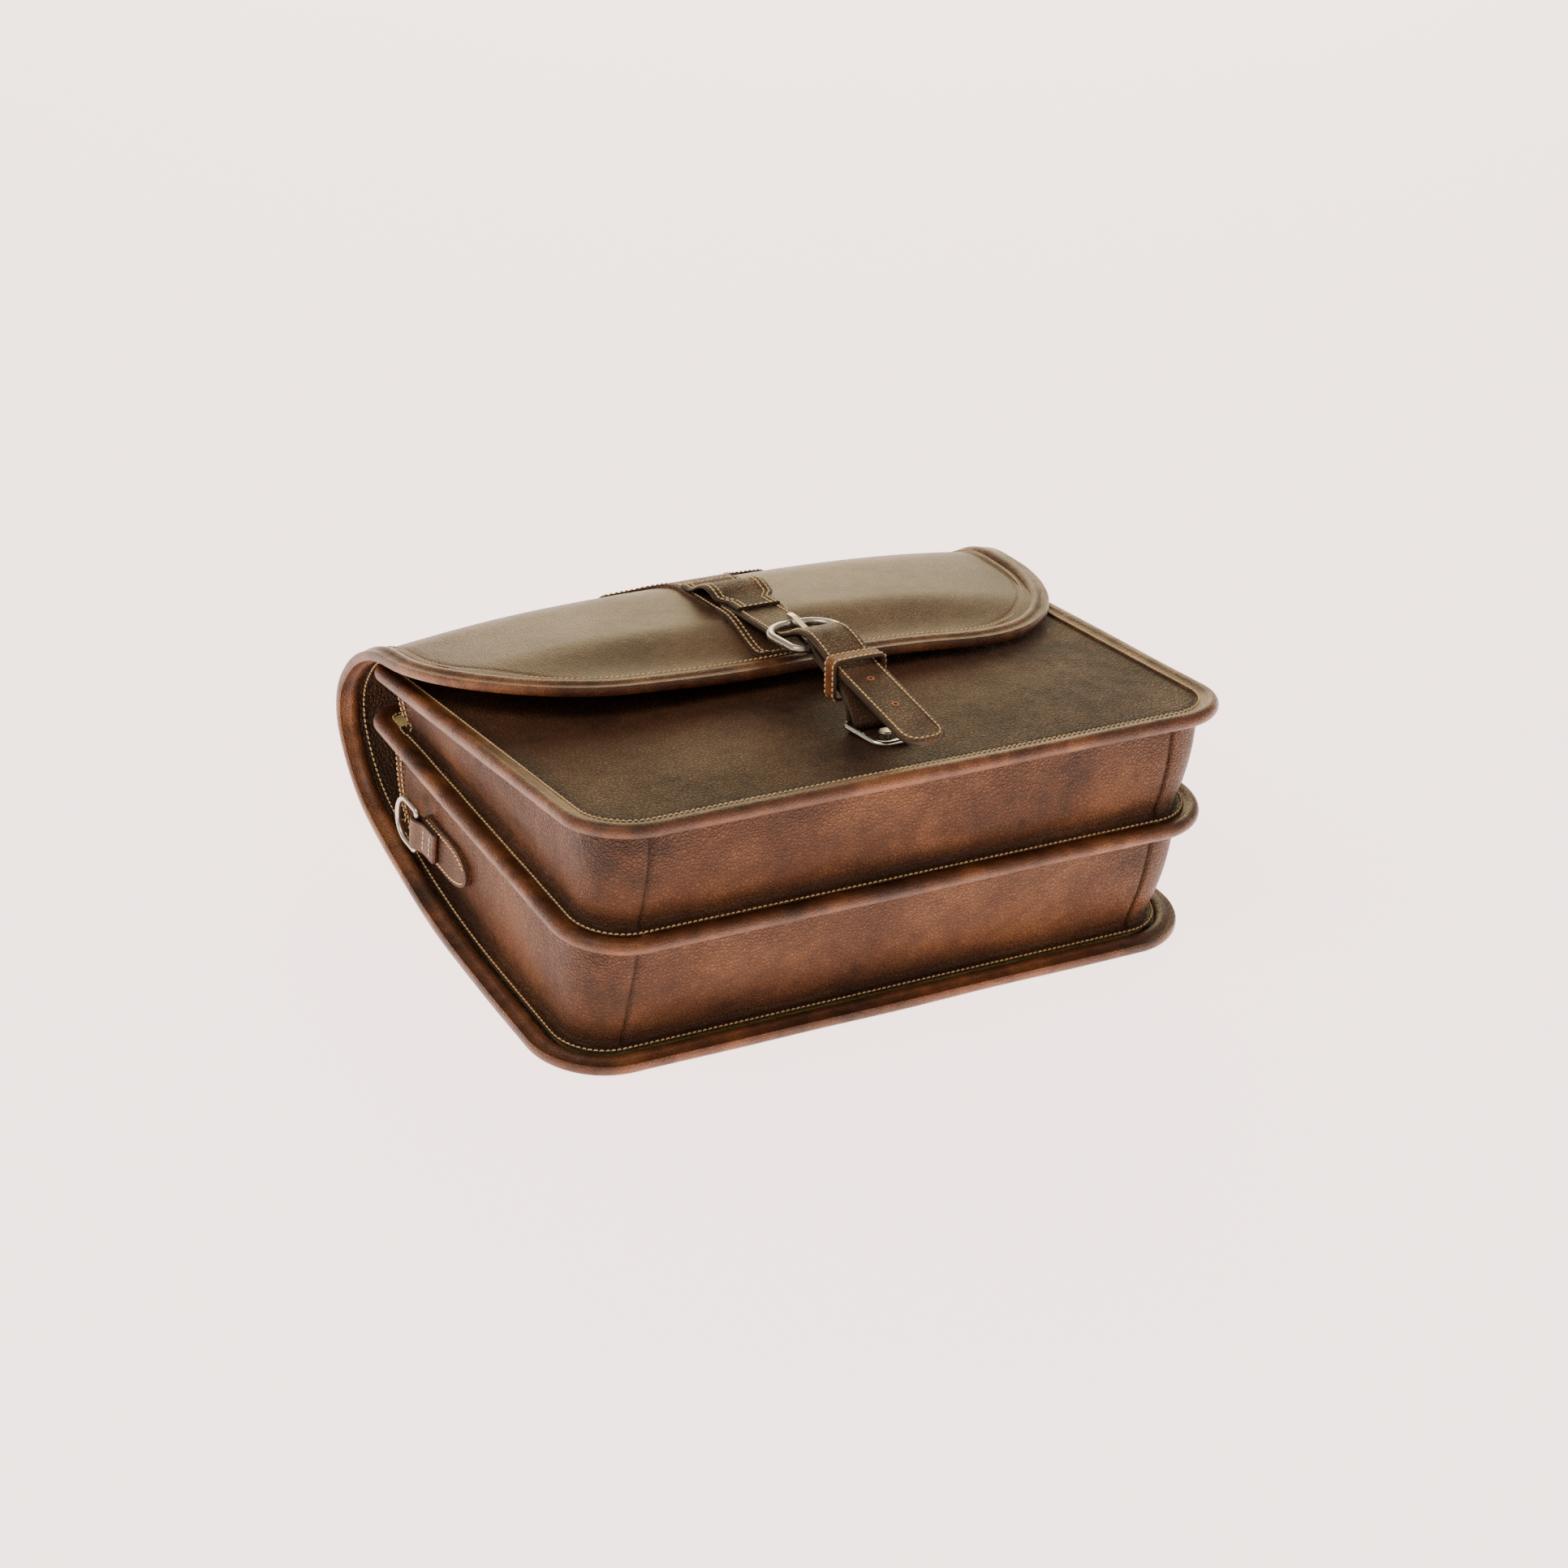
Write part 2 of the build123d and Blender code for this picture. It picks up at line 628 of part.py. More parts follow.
# --- strap base on the flap: a stem with a crossbar that follows the fold ---
with BuildPart() as strap_base:
    with BuildSketch(side_plane()):
        with BuildLine():
            arcs = []
            ends = []
            for rise in (0, PATCH):
                edge_level = crown_top + rise - crown_slope * (patch_end - CROWN_REACH)
                Polyline(
                    (0, crown_top + rise),
                    (CROWN_REACH, crown_top + rise),
                    (patch_end, edge_level),
                )
                arcs.append(
                    JernArc(
                        (0, crown_top + rise), (-1, 0), crown_radius + rise, CROSSBAR_TURN
                    )
                )
                ends.append((patch_end, edge_level))
            Line(*ends)
            Line(arcs[0] @ 1, arcs[1] @ 1)
        make_face()
    extrude(amount=CROSSBAR_HALF, both=True)
    with BuildSketch(flap_plane.offset(-crown_radius)) as outline:
        with Locations((0, 0)):
            Rectangle(2 * stem_half, 2 * FLAP_REACH)
        with Locations((0, CROSSBAR_FRONT + crown_radius / 2)):
            Rectangle(2 * CROSSBAR_HALF, crown_radius)
        crotch = outline.vertices().filter_by(
            lambda v: abs(abs(v.X) - stem_half) < 0.01 and abs(v.Y - CROSSBAR_FRONT) < 0.01
        )
        fillet(crotch, STEM_FLARE)
    extrude(amount=2 * crown_radius, mode=Mode.INTERSECT)
finish(strap_base.part, "strap_base")

# --- bridge: sewn down at both ends, arched between, with the strap's root under its bar ---
anchor_rear = bar_front - ANCHOR_LENGTH
anchor_top = patch_top + STRAP_THICK
bar_top = anchor_top + PLAY + BRIDGE_THICK
with BuildPart() as bridge:
    with BuildSketch(side_plane()):
        foot_front = BRIDGE_FOOT + BRIDGE_FOOT_LENGTH
        middle = (foot_front + bar_rear) / 2
        with Locations(
            ((BRIDGE_FOOT + foot_front) / 2, patch_top + BRIDGE_THICK / 2),
        ):
            Rectangle(BRIDGE_FOOT_LENGTH, BRIDGE_THICK)
        with Locations(((bar_rear + bar_front) / 2, (patch_top + bar_top) / 2)):
            Rectangle(BRIDGE_BAR, bar_top - patch_top)
        with BuildLine():
            arcs = [
                ThreePointArc(
                    (foot_front, patch_top + rise),
                    (middle, patch_top + BRIDGE_ARCH + rise),
                    (bar_rear, patch_top + rise),
                )
                for rise in (0, BRIDGE_THICK)
            ]
            Line(arcs[0] @ 0, arcs[1] @ 0)
            Line(arcs[0] @ 1, arcs[1] @ 1)
        make_face()
    extrude(amount=stem_half, both=True)
    with BuildSketch(side_plane()):
        with Locations((anchor_rear + ANCHOR_LENGTH / 2, (patch_top + anchor_top + PLAY) / 2)):
            Rectangle(ANCHOR_LENGTH + 2 * PLAY, anchor_top + PLAY - patch_top)
    extrude(amount=STRAP_HALF + PLAY, both=True, mode=Mode.SUBTRACT)
finish(bridge.part, "strap_bridge")

with BuildPart() as anchor:
    with BuildSketch(side_plane()):
        with Locations((anchor_rear + ANCHOR_LENGTH / 2, (patch_top + anchor_top) / 2)):
            Rectangle(ANCHOR_LENGTH, STRAP_THICK)
    extrude(amount=STRAP_HALF, both=True)
finish(anchor.part, "strap_anchor")

# --- strap: out of the bridge, under the buckle's round end, over its bar and down to the tip ---
keeper_level = strap_level + 0.3 * STRAP_THICK
keeper_front = keeper_rear + KEEPER_LENGTH
strap_fall = (heel_rise - keeper_level) / (keeper_front - heel)
strap_line = (
    (strap_root, strap_level),
    (buckle_end + 2 * WIRE, strap_level),
    (heel, heel_rise),
    (keeper_front, keeper_level),
    (strap_tip, strap_level - STRAP_DROP),
)
with BuildPart() as strap:
    with BuildSketch(side_plane()):
        with BuildLine():
            FilletPolyline(*strap_line, radius=14)
        trace(line_width=STRAP_THICK)
    extrude(amount=STRAP_HALF, both=True)
    strap_length = strap_tip - strap_root
    with BuildSketch(flap_plane.offset(-FOLD_UPPER_RADIUS)) as outline:
        with Locations((0, -strap_root - strap_length / 2)):
            Rectangle(2 * STRAP_HALF, strap_length)
        fillet(outline.vertices().group_by(Axis.Y)[0], STRAP_TIP)
        for step in (1, 2):
            with Locations((0, -keeper_front + KEEPER_LENGTH / 2 - step * HOLE_PITCH)):
                Circle(HOLE_RADIUS, mode=Mode.SUBTRACT)
        with Locations((0, -(buckle_end + heel) / 2 - 3 * WIRE / 2)):
            prong_slot = 2 * PRONG_HALF + 3 * PLAY
            SlotOverall(0.6 * BUCKLE_LENGTH, prong_slot, rotation=90, mode=Mode.SUBTRACT)
    extrude(amount=2 * FOLD_UPPER_RADIUS, mode=Mode.INTERSECT)
finish(strap.part, "strap_billet")

# --- buckle frame and its prong ---
with BuildPart() as frame:
    with BuildLine(flap_plane.offset(frame_level)):
        edge = FilletPolyline(
            (-buckle_half, -heel), (buckle_half, -heel),
            (buckle_half + BUCKLE_FLARE, -buckle_end), (-buckle_half - BUCKLE_FLARE, -buckle_end),
            radius=(2 * WIRE, 2 * WIRE, BUCKLE_ROUND, BUCKLE_ROUND),
            close=True,
        )
    with BuildSketch(Plane(edge @ 0, z_dir=edge % 0)):
        Circle(WIRE)
    sweep()
finish(frame.part, "buckle_frame")

prong_rest = frame_level + WIRE + BAR_PLAY + PRONG_THICK / 2
with BuildPart() as prong:
    with BuildSketch(side_plane()):
        with BuildLine():
            FilletPolyline(
                (heel - WIRE - PRONG_EYE / 2, frame_level),
                (heel - BUCKLE_LENGTH / 2, frame_level),
                (buckle_end + WIRE / 2, prong_rest + PLAY),
                (buckle_end - 1.6 * WIRE, prong_rest + PLAY),
                radius=3,
            )
        trace(line_width=PRONG_THICK)
        with Locations((heel, frame_level)):
            Circle(WIRE + BAR_PLAY + PRONG_EYE)
            Circle(WIRE + BAR_PLAY, mode=Mode.SUBTRACT)
    extrude(amount=PRONG_HALF, both=True)
finish(prong.part, "buckle_prong")

# --- chape: folded round the buckle's bar and the clip's bar, both legs sewn together between ---
chape_middle = frame_level - 2 * STRAP_THICK - CHAPE_WALL
chape_low = chape_middle - 2 * STRAP_THICK
with BuildPart() as chape:
    with BuildSketch(side_plane()):
        with BuildLine():
            FilletPolyline(
                (heel, frame_level),
                (heel + 0.8 * KEEPER_SET, chape_middle),
                (keeper_front + PLAY, chape_low),
                (clip_bar, clip_level),
                radius=8,
            )
        trace(line_width=2 * CHAPE_WALL)
        for place, level, wire in ((heel, frame_level, WIRE), (clip_bar, clip_level, CLIP_WIRE)):
            with Locations((place, level)):
                Circle(wire + BAR_PLAY + CHAPE_WALL)
        for place, level, wire in ((heel, frame_level, WIRE), (clip_bar, clip_level, CLIP_WIRE)):
            with Locations((place, level)):
                Circle(wire + BAR_PLAY, mode=Mode.SUBTRACT)
    extrude(amount=chape_half, both=True)
    with BuildSketch(flap_plane.offset(clip_level)):
        with Locations((0, -heel)):
            Rectangle(2 * (PRONG_HALF + PLAY), 4 * (WIRE + CHAPE_WALL))
    extrude(amount=2 * FOLD_UPPER_RADIUS, mode=Mode.SUBTRACT)
finish(chape.part, "strap_chape")

# --- keeper: a loop round strap and chape ---
keeper_top = heel_rise - strap_fall * KEEPER_SET + STRAP_THICK / 2 + 2 * PLAY
keeper_low = chape_low - CHAPE_WALL - 3 * PLAY
keeper_middle = (keeper_top + keeper_low) / 2
keeper_tall = keeper_top - keeper_low
with BuildPart() as keeper:
    with BuildSketch(Plane(strap_point(keeper_rear, keeper_middle), x_dir=(1, 0, 0), z_dir=forward)):
        Rectangle(2 * (STRAP_HALF + PLAY + KEEPER_THICK), keeper_tall + 2 * KEEPER_THICK)
        Rectangle(2 * (STRAP_HALF + PLAY), keeper_tall, mode=Mode.SUBTRACT)
    extrude(amount=KEEPER_LENGTH)
finish(keeper.part, "strap_keeper")

# --- clip: a wire loop on the chape that drops over a stud on the front panel ---
clip_axis = (strap_point(clip_bar, clip_level) - strap_point(clip_far, clip_rest)).normalized()
clip_plane = Plane(
    strap_point(clip_bar, clip_level), x_dir=(1, 0, 0), z_dir=Vector(1, 0, 0).cross(clip_axis)
)
with BuildPart() as clip:
    with BuildLine(clip_plane):
        edge = FilletPolyline(
            (-chape_half - 4, 0), (chape_half + 4, 0),
            (CLIP_HALF, -CLIP_LENGTH), (-CLIP_HALF, -CLIP_LENGTH),
            radius=(3, 3, CLIP_HALF - 2, CLIP_HALF - 2),
            close=True,
        )
    with BuildSketch(Plane(edge @ 0, z_dir=edge % 0)):
        Circle(CLIP_WIRE)
    sweep()
finish(clip.part, "clasp_clip")

stud_foot = strap_point(stud_place, stack / 2 - standoff)
with BuildPart() as stud:
    with BuildSketch(Plane(stud_foot, x_dir=(1, 0, 0), z_dir=flap_up)):
        Circle(STUD_BASE)
    extrude(amount=1)
    with BuildSketch(Plane(stud_foot, x_dir=(1, 0, 0), z_dir=flap_up)):
        Circle(STUD_POST)
    extrude(amount=STUD_HEIGHT)
    with BuildSketch(Plane(stud_foot + flap_up * (STUD_HEIGHT - 1.5), x_dir=(1, 0, 0), z_dir=flap_up)):
        Circle(STUD_HEAD)
    extrude(amount=1.5)
    fillet(stud.edges().group_by(Axis.Z)[-1], 1)
finish(stud.part, "clasp_stud")

# --- handle: a base on the crest of the fold, two mounts with pins, and the grip ---
with BuildPart() as handle_base:
    base_arc = (90 - HANDLE_BASE_TURN, 90 + HANDLE_BASE_TURN)
    extrude(fold_band(1, FLAP_SKIN, handle_outer, *base_arc), amount=CROSSBAR_HALF, both=True)
finish(handle_base.part, "handle_base")

plate_turn = degrees(MOUNT_ROUND / FOLD_MIDDLE_RADIUS)
ear_reach = MOUNT_LIFT - MOUNT_PLATE / 2
for end, side in (("left", -1), ("right", 1)):
    with BuildPart() as mount:
        plate = fold_band(
            1, handle_outer, handle_outer + MOUNT_PLATE, 90 - plate_turn, 90 + plate_turn
        )
        extrude(plate.moved(Pos(side * HANDLE_HALF, 0, 0)), amount=MOUNT_HALF, both=True)
        with BuildSketch(Plane.YZ.offset(side * HANDLE_HALF)):
            with Locations((handle_pin.Y, handle_pin.Z)):
                Circle(MOUNT_ROUND)
            with Locations((handle_pin.Y - ear_reach / 2, handle_pin.Z)):
                Rectangle(ear_reach, 2 * MOUNT_ROUND)
        extrude(amount=MOUNT_HALF, both=True)
        with BuildSketch(Plane.YZ.offset(side * HANDLE_HALF)):
            with Locations((handle_pin.Y, handle_pin.Z)):
                Rectangle(2 * (ear_reach - MOUNT_PLATE), 3 * MOUNT_ROUND)
        extrude(amount=MOUNT_HALF - MOUNT_EAR, both=True, mode=Mode.SUBTRACT)
        with BuildSketch(Plane.YZ.offset(side * HANDLE_HALF)):
            with Locations((handle_pin.Y, handle_pin.Z)):
                Circle(HANDLE_PIN)
        extrude(amount=MOUNT_HALF, both=True)
    finish(mount.part, f"handle_mount_{end}")

with BuildPart() as handle:
    neck = 1.5 * EYE_RADIUS
    with BuildLine(handle_plane):
        edge = FilletPolyline(
            (-HANDLE_HALF, neck), (-HANDLE_HALF, HANDLE_REACH),
            (HANDLE_HALF, HANDLE_REACH), (HANDLE_HALF, neck),
            radius=HANDLE_BEND,
        )
    with BuildSketch(Plane(edge @ 0, z_dir=edge % 0)):
        Circle(HANDLE_ROLL)
    sweep()
    for side in (-1, 1):
        eye_plane = Plane(
            handle_pin + Vector(side * HANDLE_HALF, 0, 0), x_dir=handle_out, z_dir=(1, 0, 0)
        )
        with BuildSketch(eye_plane):
            Circle(EYE_RADIUS)
            with Locations((neck / 2, 0)):
                Rectangle(neck, 1.6 * EYE_RADIUS)
        extrude(amount=MOUNT_HALF - MOUNT_EAR - PLAY, both=True)
        with BuildSketch(eye_plane):
            Circle(HANDLE_PIN + BAR_PLAY)
        extrude(amount=MOUNT_HALF, both=True, mode=Mode.SUBTRACT)
finish(handle.part, "handle_grip")
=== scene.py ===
# %% [markdown]
# This lesson dresses a leather flap-over briefcase that lies on its back. The engineering model
# is the frame: it holds every size and every joint. Here each stiff stand-in is covered by a
# piece with the look of real leather: swollen panels, rolled bindings, thread and worn nickel.

# %% Load the frame
import json
from math import asin, atan2, cos, hypot, pi, radians, sin

import bmesh
import bpy
import numpy as np
from mathutils import Matrix, Vector


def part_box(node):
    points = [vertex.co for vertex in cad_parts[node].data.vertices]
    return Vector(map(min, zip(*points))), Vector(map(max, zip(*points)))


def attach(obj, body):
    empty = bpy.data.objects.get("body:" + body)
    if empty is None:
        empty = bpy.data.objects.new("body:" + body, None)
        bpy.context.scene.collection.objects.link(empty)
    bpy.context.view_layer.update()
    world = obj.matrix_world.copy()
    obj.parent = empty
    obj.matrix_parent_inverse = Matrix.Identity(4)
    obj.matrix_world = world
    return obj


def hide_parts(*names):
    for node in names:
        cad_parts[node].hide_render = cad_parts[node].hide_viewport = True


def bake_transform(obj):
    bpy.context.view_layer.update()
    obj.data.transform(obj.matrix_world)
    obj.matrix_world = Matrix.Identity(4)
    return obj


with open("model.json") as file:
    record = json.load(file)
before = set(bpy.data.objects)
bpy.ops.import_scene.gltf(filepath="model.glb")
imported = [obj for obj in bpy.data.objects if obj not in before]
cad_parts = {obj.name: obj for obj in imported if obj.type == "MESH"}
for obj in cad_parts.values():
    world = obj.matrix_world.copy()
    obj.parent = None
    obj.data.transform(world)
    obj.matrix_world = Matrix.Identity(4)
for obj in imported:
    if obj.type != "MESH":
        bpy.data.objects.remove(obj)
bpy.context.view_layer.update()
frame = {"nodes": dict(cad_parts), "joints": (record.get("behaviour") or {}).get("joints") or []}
joint_at = {j["name"]: np.array(j["pos_m"]) for j in frame["joints"]}
print("frame loaded:", len(frame["nodes"]), "nodes")

# %% [markdown]
# The bag is one long sheet of leather that starts as the back, bends round the mouth and comes
# forward as the flap. Its middle line is worked out once from the frame, as straight runs and
# arcs, and every piece that lies on the sheet is placed by how far along the line it is.

# %% Sizes read from the frame
MM = 0.001
ROLL = 4.5 * MM                      # radius of the rolled bindings
BEND_OFFSET = 0.15 * MM              # hinge lines stand this far outside the roll
TILT = radians(8.5)                  # front panel and flap lean towards the mouth
FLAT_BACK = 110 * MM
FOLD_HEADINGS = (radians(58), radians(118))
UPPER_RADIUS = 80 * MM
FLAP_REACH = 110 * MM
CORNER, MOUTH_CORNER, FLAP_CORNER = 38 * MM, 14 * MM, 100 * MM
SKIN = 2 * MM                        # outside of the fold above its middle line

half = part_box("back_binding")[1].x - ROLL
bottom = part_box("back_binding")[0].y + ROLL


def along(heading):
    return np.array([cos(heading), sin(heading)])


def outward(heading):
    return np.array([sin(heading), -cos(heading)])


hinges = [joint_at[name][1:] for name in ("fold_lower", "fold_upper", "flap_bend")]
ramp_start = np.array([bottom + FLAT_BACK, ROLL])
ramp_end = hinges[0]
for _ in range(3):
    ramp_turn = 2 * atan2(*(ramp_end - ramp_start)[::-1])
    ramp_end = hinges[0] - outward(ramp_turn) * (ROLL + BEND_OFFSET)
headings = (ramp_turn, *FOLD_HEADINGS, pi - TILT)
bends = [hinges[k] - outward(headings[k]) * (ROLL + BEND_OFFSET) for k in range(3)]


def chord_radius(start, end, turn):
    return hypot(*(end - start)) / (2 * sin(turn / 2))


# every stretch of the middle line: length, turn
stretches = [(FLAT_BACK, 0.0)]
marks = (ramp_start, *bends)
for k, turn in enumerate(np.diff((0, *headings[:3]))):
    stretches.append((chord_radius(marks[k], marks[k + 1], turn) * turn, turn))
stretches.append((UPPER_RADIUS * (headings[3] - headings[2]), headings[3] - headings[2]))
stretches.append((FLAP_REACH, 0.0))
starts = np.concatenate([[0], np.cumsum([length for length, turn in stretches])])
bend_s = starts[2:5]                 # where the three bend lines cross the middle line
level_s, sheet_length = starts[5], starts[6]
print("sheet length", round(sheet_length, 4), "bends at", np.round(bend_s, 4))


def spine(s):
    """y, z and heading of the sheet's middle line at distances s from the bottom edge."""
    s = np.asarray(s, float)
    y, z, heading = np.full(s.shape, bottom) + s, np.full(s.shape, ROLL), np.zeros(s.shape)
    place, begin_heading = np.array([bottom, ROLL]), 0.0
    for (length, turn), begin in zip(stretches, starts):
        here = s >= begin - 1e-9
        run = np.where(here, s - begin, 0)
        if abs(turn) < 1e-9:
            dy, dz, h = run * cos(begin_heading), run * sin(begin_heading), begin_heading
            place_next = place + along(begin_heading) * length
        else:
            radius = length / turn
            h = begin_heading + run / radius
            dy = radius * (np.sin(h) - sin(begin_heading))
            dz = radius * (cos(begin_heading) - np.cos(h))
            place_next = place + (outward(begin_heading + turn) - outward(begin_heading)) * radius
        y, z = np.where(here, place[0] + dy, y), np.where(here, place[1] + dz, z)
        heading = np.where(here, h, heading)
        place, begin_heading = place_next, begin_heading + turn
    return y, z, heading


def smooth(value, low, high):
    """0 below low, 1 above high, and an even rise between them."""
    t = np.clip((np.asarray(value, float) - low) / (high - low), 0, 1)
    return t * t * (3 - 2 * t)


# %% [markdown]
# A worn flap never lies true: its left front corner has curled up and its right one hangs down.
# The lift is added wherever something lies on the flap, so the binding and thread follow it.

# %% The flap's lie, and the map from the flat sheet to the bag
CROWN = 12 * MM
LIFT_LEFT, DROP_RIGHT = 9 * MM, 6.5 * MM


def lift(x, s):
    past = smooth(s, bend_s[2] + 0.03, sheet_length)
    left, right = smooth(-x / half, 0.1, 1.0), smooth(x / half, 0.15, 0.85)
    return past * (left * LIFT_LEFT - right * DROP_RIGHT)


def reach(x, s):
    """The flap's right side hangs a little further forward than its left."""
    return 11 * MM * smooth(x / half, 0.35, 1.0) * smooth(s, bend_s[2] + 0.02, sheet_length)


def crown(x, s):
    """How far padding swells the flap above its skin."""
    across = 1 - np.abs(np.clip(x / (half - 9 * MM), -1, 1)) ** 3.2
    rise = smooth(s, bend_s[2] - 0.012, level_s + 0.004)
    fall = 1 - smooth(s, level_s + 0.055, sheet_length - 0.010)
    return CROWN * across * rise * fall


def wrap(x, s, n):
    """Points of the bag from places on the flat sheet and heights above its middle line."""
    x, s, n = np.broadcast_arrays(np.asarray(x, float), s, n)
    y, z, heading = spine(s)
    n, ahead = n + lift(x, s), reach(x, s)
    y, z = y + ahead * np.cos(heading), z + ahead * np.sin(heading)
    return np.stack([x, y + n * np.sin(heading), z - n * np.cos(heading)], -1)


# %% [markdown]
# The two flat panels need the same kind of map. Both stand on a plane of their own, so a small
# class keeps the plane and turns a place on the panel into a point of the bag.

# %% The divider and the front panel
class Panel:
    def __init__(self, binding, tilt):
        low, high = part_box(binding)
        self.tilt = tilt
        self.y = low.y + ROLL
        self.z = (high.z if tilt else (low.z + high.z) / 2 + ROLL) - ROLL
        self.length = (high.y - ROLL - self.y) / cos(tilt)

    def place(self, x, y, n):
        x, y, n = np.broadcast_arrays(np.asarray(x, float), y, n)
        c, s = cos(self.tilt), sin(self.tilt)
        return np.stack([x, self.y + y * c + n * s, self.z - y * s + n * c], -1)


divider = Panel("divider_binding", 0.0)
front = Panel("front_binding", TILT)
print("divider", round(divider.z, 4), round(divider.length, 4), "front", round(front.length, 4))

# %% [markdown]
# Leather panels have round corners. A rectangular net is easy to build, so its corner squares
# are pressed into quarter discs: rows stay parallel to the edge, which keeps seams even.

# %% Nets and outlines with round corners
def rounded(u, v, length, low_radius, high_radius):
    """Net of a rectangle with its corners made round; also the distance from the outline."""
    x, y = u.copy(), v.copy()
    edge = np.minimum(half - np.abs(u), np.minimum(v, length - v))
    for radius, into, low in (
        (low_radius, low_radius - v, True), (high_radius, v - (length - high_radius), False)
    ):
        a, b = (np.abs(u) - (half - radius)) / radius, into / radius
        inside = (a > 0) & (b > 0)
        shrink = np.maximum(a, b) / np.maximum(np.hypot(a, b), 1e-9)
        x = np.where(inside, np.sign(u) * (half - radius + a * shrink * radius), x)
        bent = b * shrink * radius
        y = np.where(inside, radius - bent if low else length - radius + bent, y)
    return x, y, edge


def spread(low, high, fine, coarse, band):
    """Places from low to high, close together in a band at both ends."""
    ends = np.arange(0, band, fine)
    middle = np.linspace(low + band, high - band, max(2, int((high - low - 2 * band) / coarse)))
    return np.concatenate([low + ends, middle, (high - ends)[::-1]])


def outline(length, low_radius, high_radius, inset, step):
    """Points round a panel, starting at the middle of its far edge."""
    w, lo, hi = half - inset, inset, length - inset
    r0, r1 = low_radius - inset, high_radius - inset
    points = []

    def run(ax, ay, bx, by):
        count = max(2, int(hypot(bx - ax, by - ay) / step))
        for t in np.linspace(0, 1, count, endpoint=False):
            points.append((ax + (bx - ax) * t, ay + (by - ay) * t))

    def turn(cx, cy, radius, first, last):
        count = max(4, int(radius * abs(last - first) / step))
        for angle in np.linspace(first, last, count, endpoint=False):
            points.append((cx + radius * cos(angle), cy + radius * sin(angle)))

    run(0, hi, -w + r1, hi)
    turn(-w + r1, hi - r1, r1, pi / 2, pi)
    run(-w, hi - r1, -w, lo + r0)
    turn(-w + r0, lo + r0, r0, pi, 3 * pi / 2)
    run(-w + r0, lo, w - r0, lo)
    turn(w - r0, lo + r0, r0, -pi / 2, 0)
    run(w, lo + r0, w, hi - r1)
    turn(w - r1, hi - r1, r1, 0, pi / 2)
    run(w - r1, hi, 0, hi)
    return np.array(points)


# %% [markdown]
# Three mesh makers do nearly everything: a sheet with two faces and a rim, a section swept
# along a path, and a row of thread stitches. Each returns a finished, smooth object.

# %% Mesh makers
rng = np.random.default_rng(7)


def make(name, points, faces, materials, slots=None, attribute=None):
    mesh = bpy.data.meshes.new(name)
    mesh.from_pydata(np.asarray(points).reshape(-1, 3).tolist(), [], faces)
    work = bmesh.new()
    work.from_mesh(mesh)
    bmesh.ops.recalc_face_normals(work, faces=work.faces)
    work.to_mesh(mesh)
    work.free()
    for material in materials:
        mesh.materials.append(material)
    mesh.polygons.foreach_set("use_smooth", [True] * len(faces))
    mesh.set_sharp_from_angle(angle=radians(55))
    if slots is not None:
        mesh.polygons.foreach_set("material_index", slots)
    if attribute is not None:
        layer = mesh.attributes.new("seam_dirt_and_shade", "FLOAT", "POINT")
        layer.data.foreach_set("value", np.asarray(attribute, np.float32).ravel())
    piece = bpy.data.objects.new(name, mesh)
    bpy.context.scene.collection.objects.link(piece)
    return piece


def net_faces(rows, columns, first=0, wrap_rows=False, wrap_columns=False):
    """Quads between the points of a net, as index lists."""
    i = np.arange(rows if wrap_rows else rows - 1)
    j = np.arange(columns if wrap_columns else columns - 1)
    a, b = np.meshgrid(i, j, indexing="ij")
    a1, b1 = (a + 1) % rows, (b + 1) % columns
    corners = [a * columns + b, a1 * columns + b, a1 * columns + b1, a * columns + b1]
    return (np.stack(corners, -1).reshape(-1, 4) + first).tolist()


def sheet(name, top, under, materials, seam_dirt_and_shade=None):
    """A closed sheet between two nets of the same size; the second material is underneath."""
    rows, columns = top.shape[:2]
    count = rows * columns
    faces = net_faces(rows, columns) + net_faces(rows, columns, count)
    slots = [0] * (len(faces) // 2) + [min(1, len(materials) - 1)] * (len(faces) // 2)
    ring = list(range(columns))
    ring += [i * columns + columns - 1 for i in range(1, rows)]
    ring += [(rows - 1) * columns + j for j in range(columns - 2, -1, -1)]
    ring += [i * columns for i in range(rows - 2, 0, -1)]
    for a, b in zip(ring, ring[1:] + ring[:1]):
        faces.append([a, b, b + count, a + count])
    slots += [0] * len(ring)
    points = np.concatenate([top.reshape(-1, 3), under.reshape(-1, 3)])
    attribute = None if seam_dirt_and_shade is None else np.concatenate([seam_dirt_and_shade.ravel(), seam_dirt_and_shade.ravel()])
    return make(name, points, faces, materials, slots, attribute)


def unit(v):
    return v / np.maximum(np.linalg.norm(v, axis=-1, keepdims=True), 1e-12)


def sweep(name, path, side, up, profile, materials, closed=False, slots=None):
    """A section, given as (sideways, up) pairs or one such list for each point, along a path."""
    profile = np.asarray(profile, float)
    if profile.ndim == 2:
        profile = np.broadcast_to(profile, (len(path), *profile.shape))
    side, up = np.broadcast_to(side, path.shape), np.broadcast_to(up, path.shape)
    points = path[:, None] + side[:, None] * profile[..., :1] + up[:, None] * profile[..., 1:]
    rows, columns = points.shape[:2]
    faces = net_faces(rows, columns, 0, wrap_rows=closed, wrap_columns=True)
    per_row = slots if slots is not None else [0] * columns
    index = list(per_row) * (rows if closed else rows - 1)
    if not closed:
        faces.append(list(range(columns)))
        faces.append([(rows - 1) * columns + j for j in range(columns - 1, -1, -1)])
        index += [max(per_row)] * 2
    return make(name, points, faces, materials, index)


def tangents(path, closed=False):
    if closed:
        return unit(np.roll(path, -1, 0) - np.roll(path, 1, 0))
    return unit(np.gradient(path, axis=0))


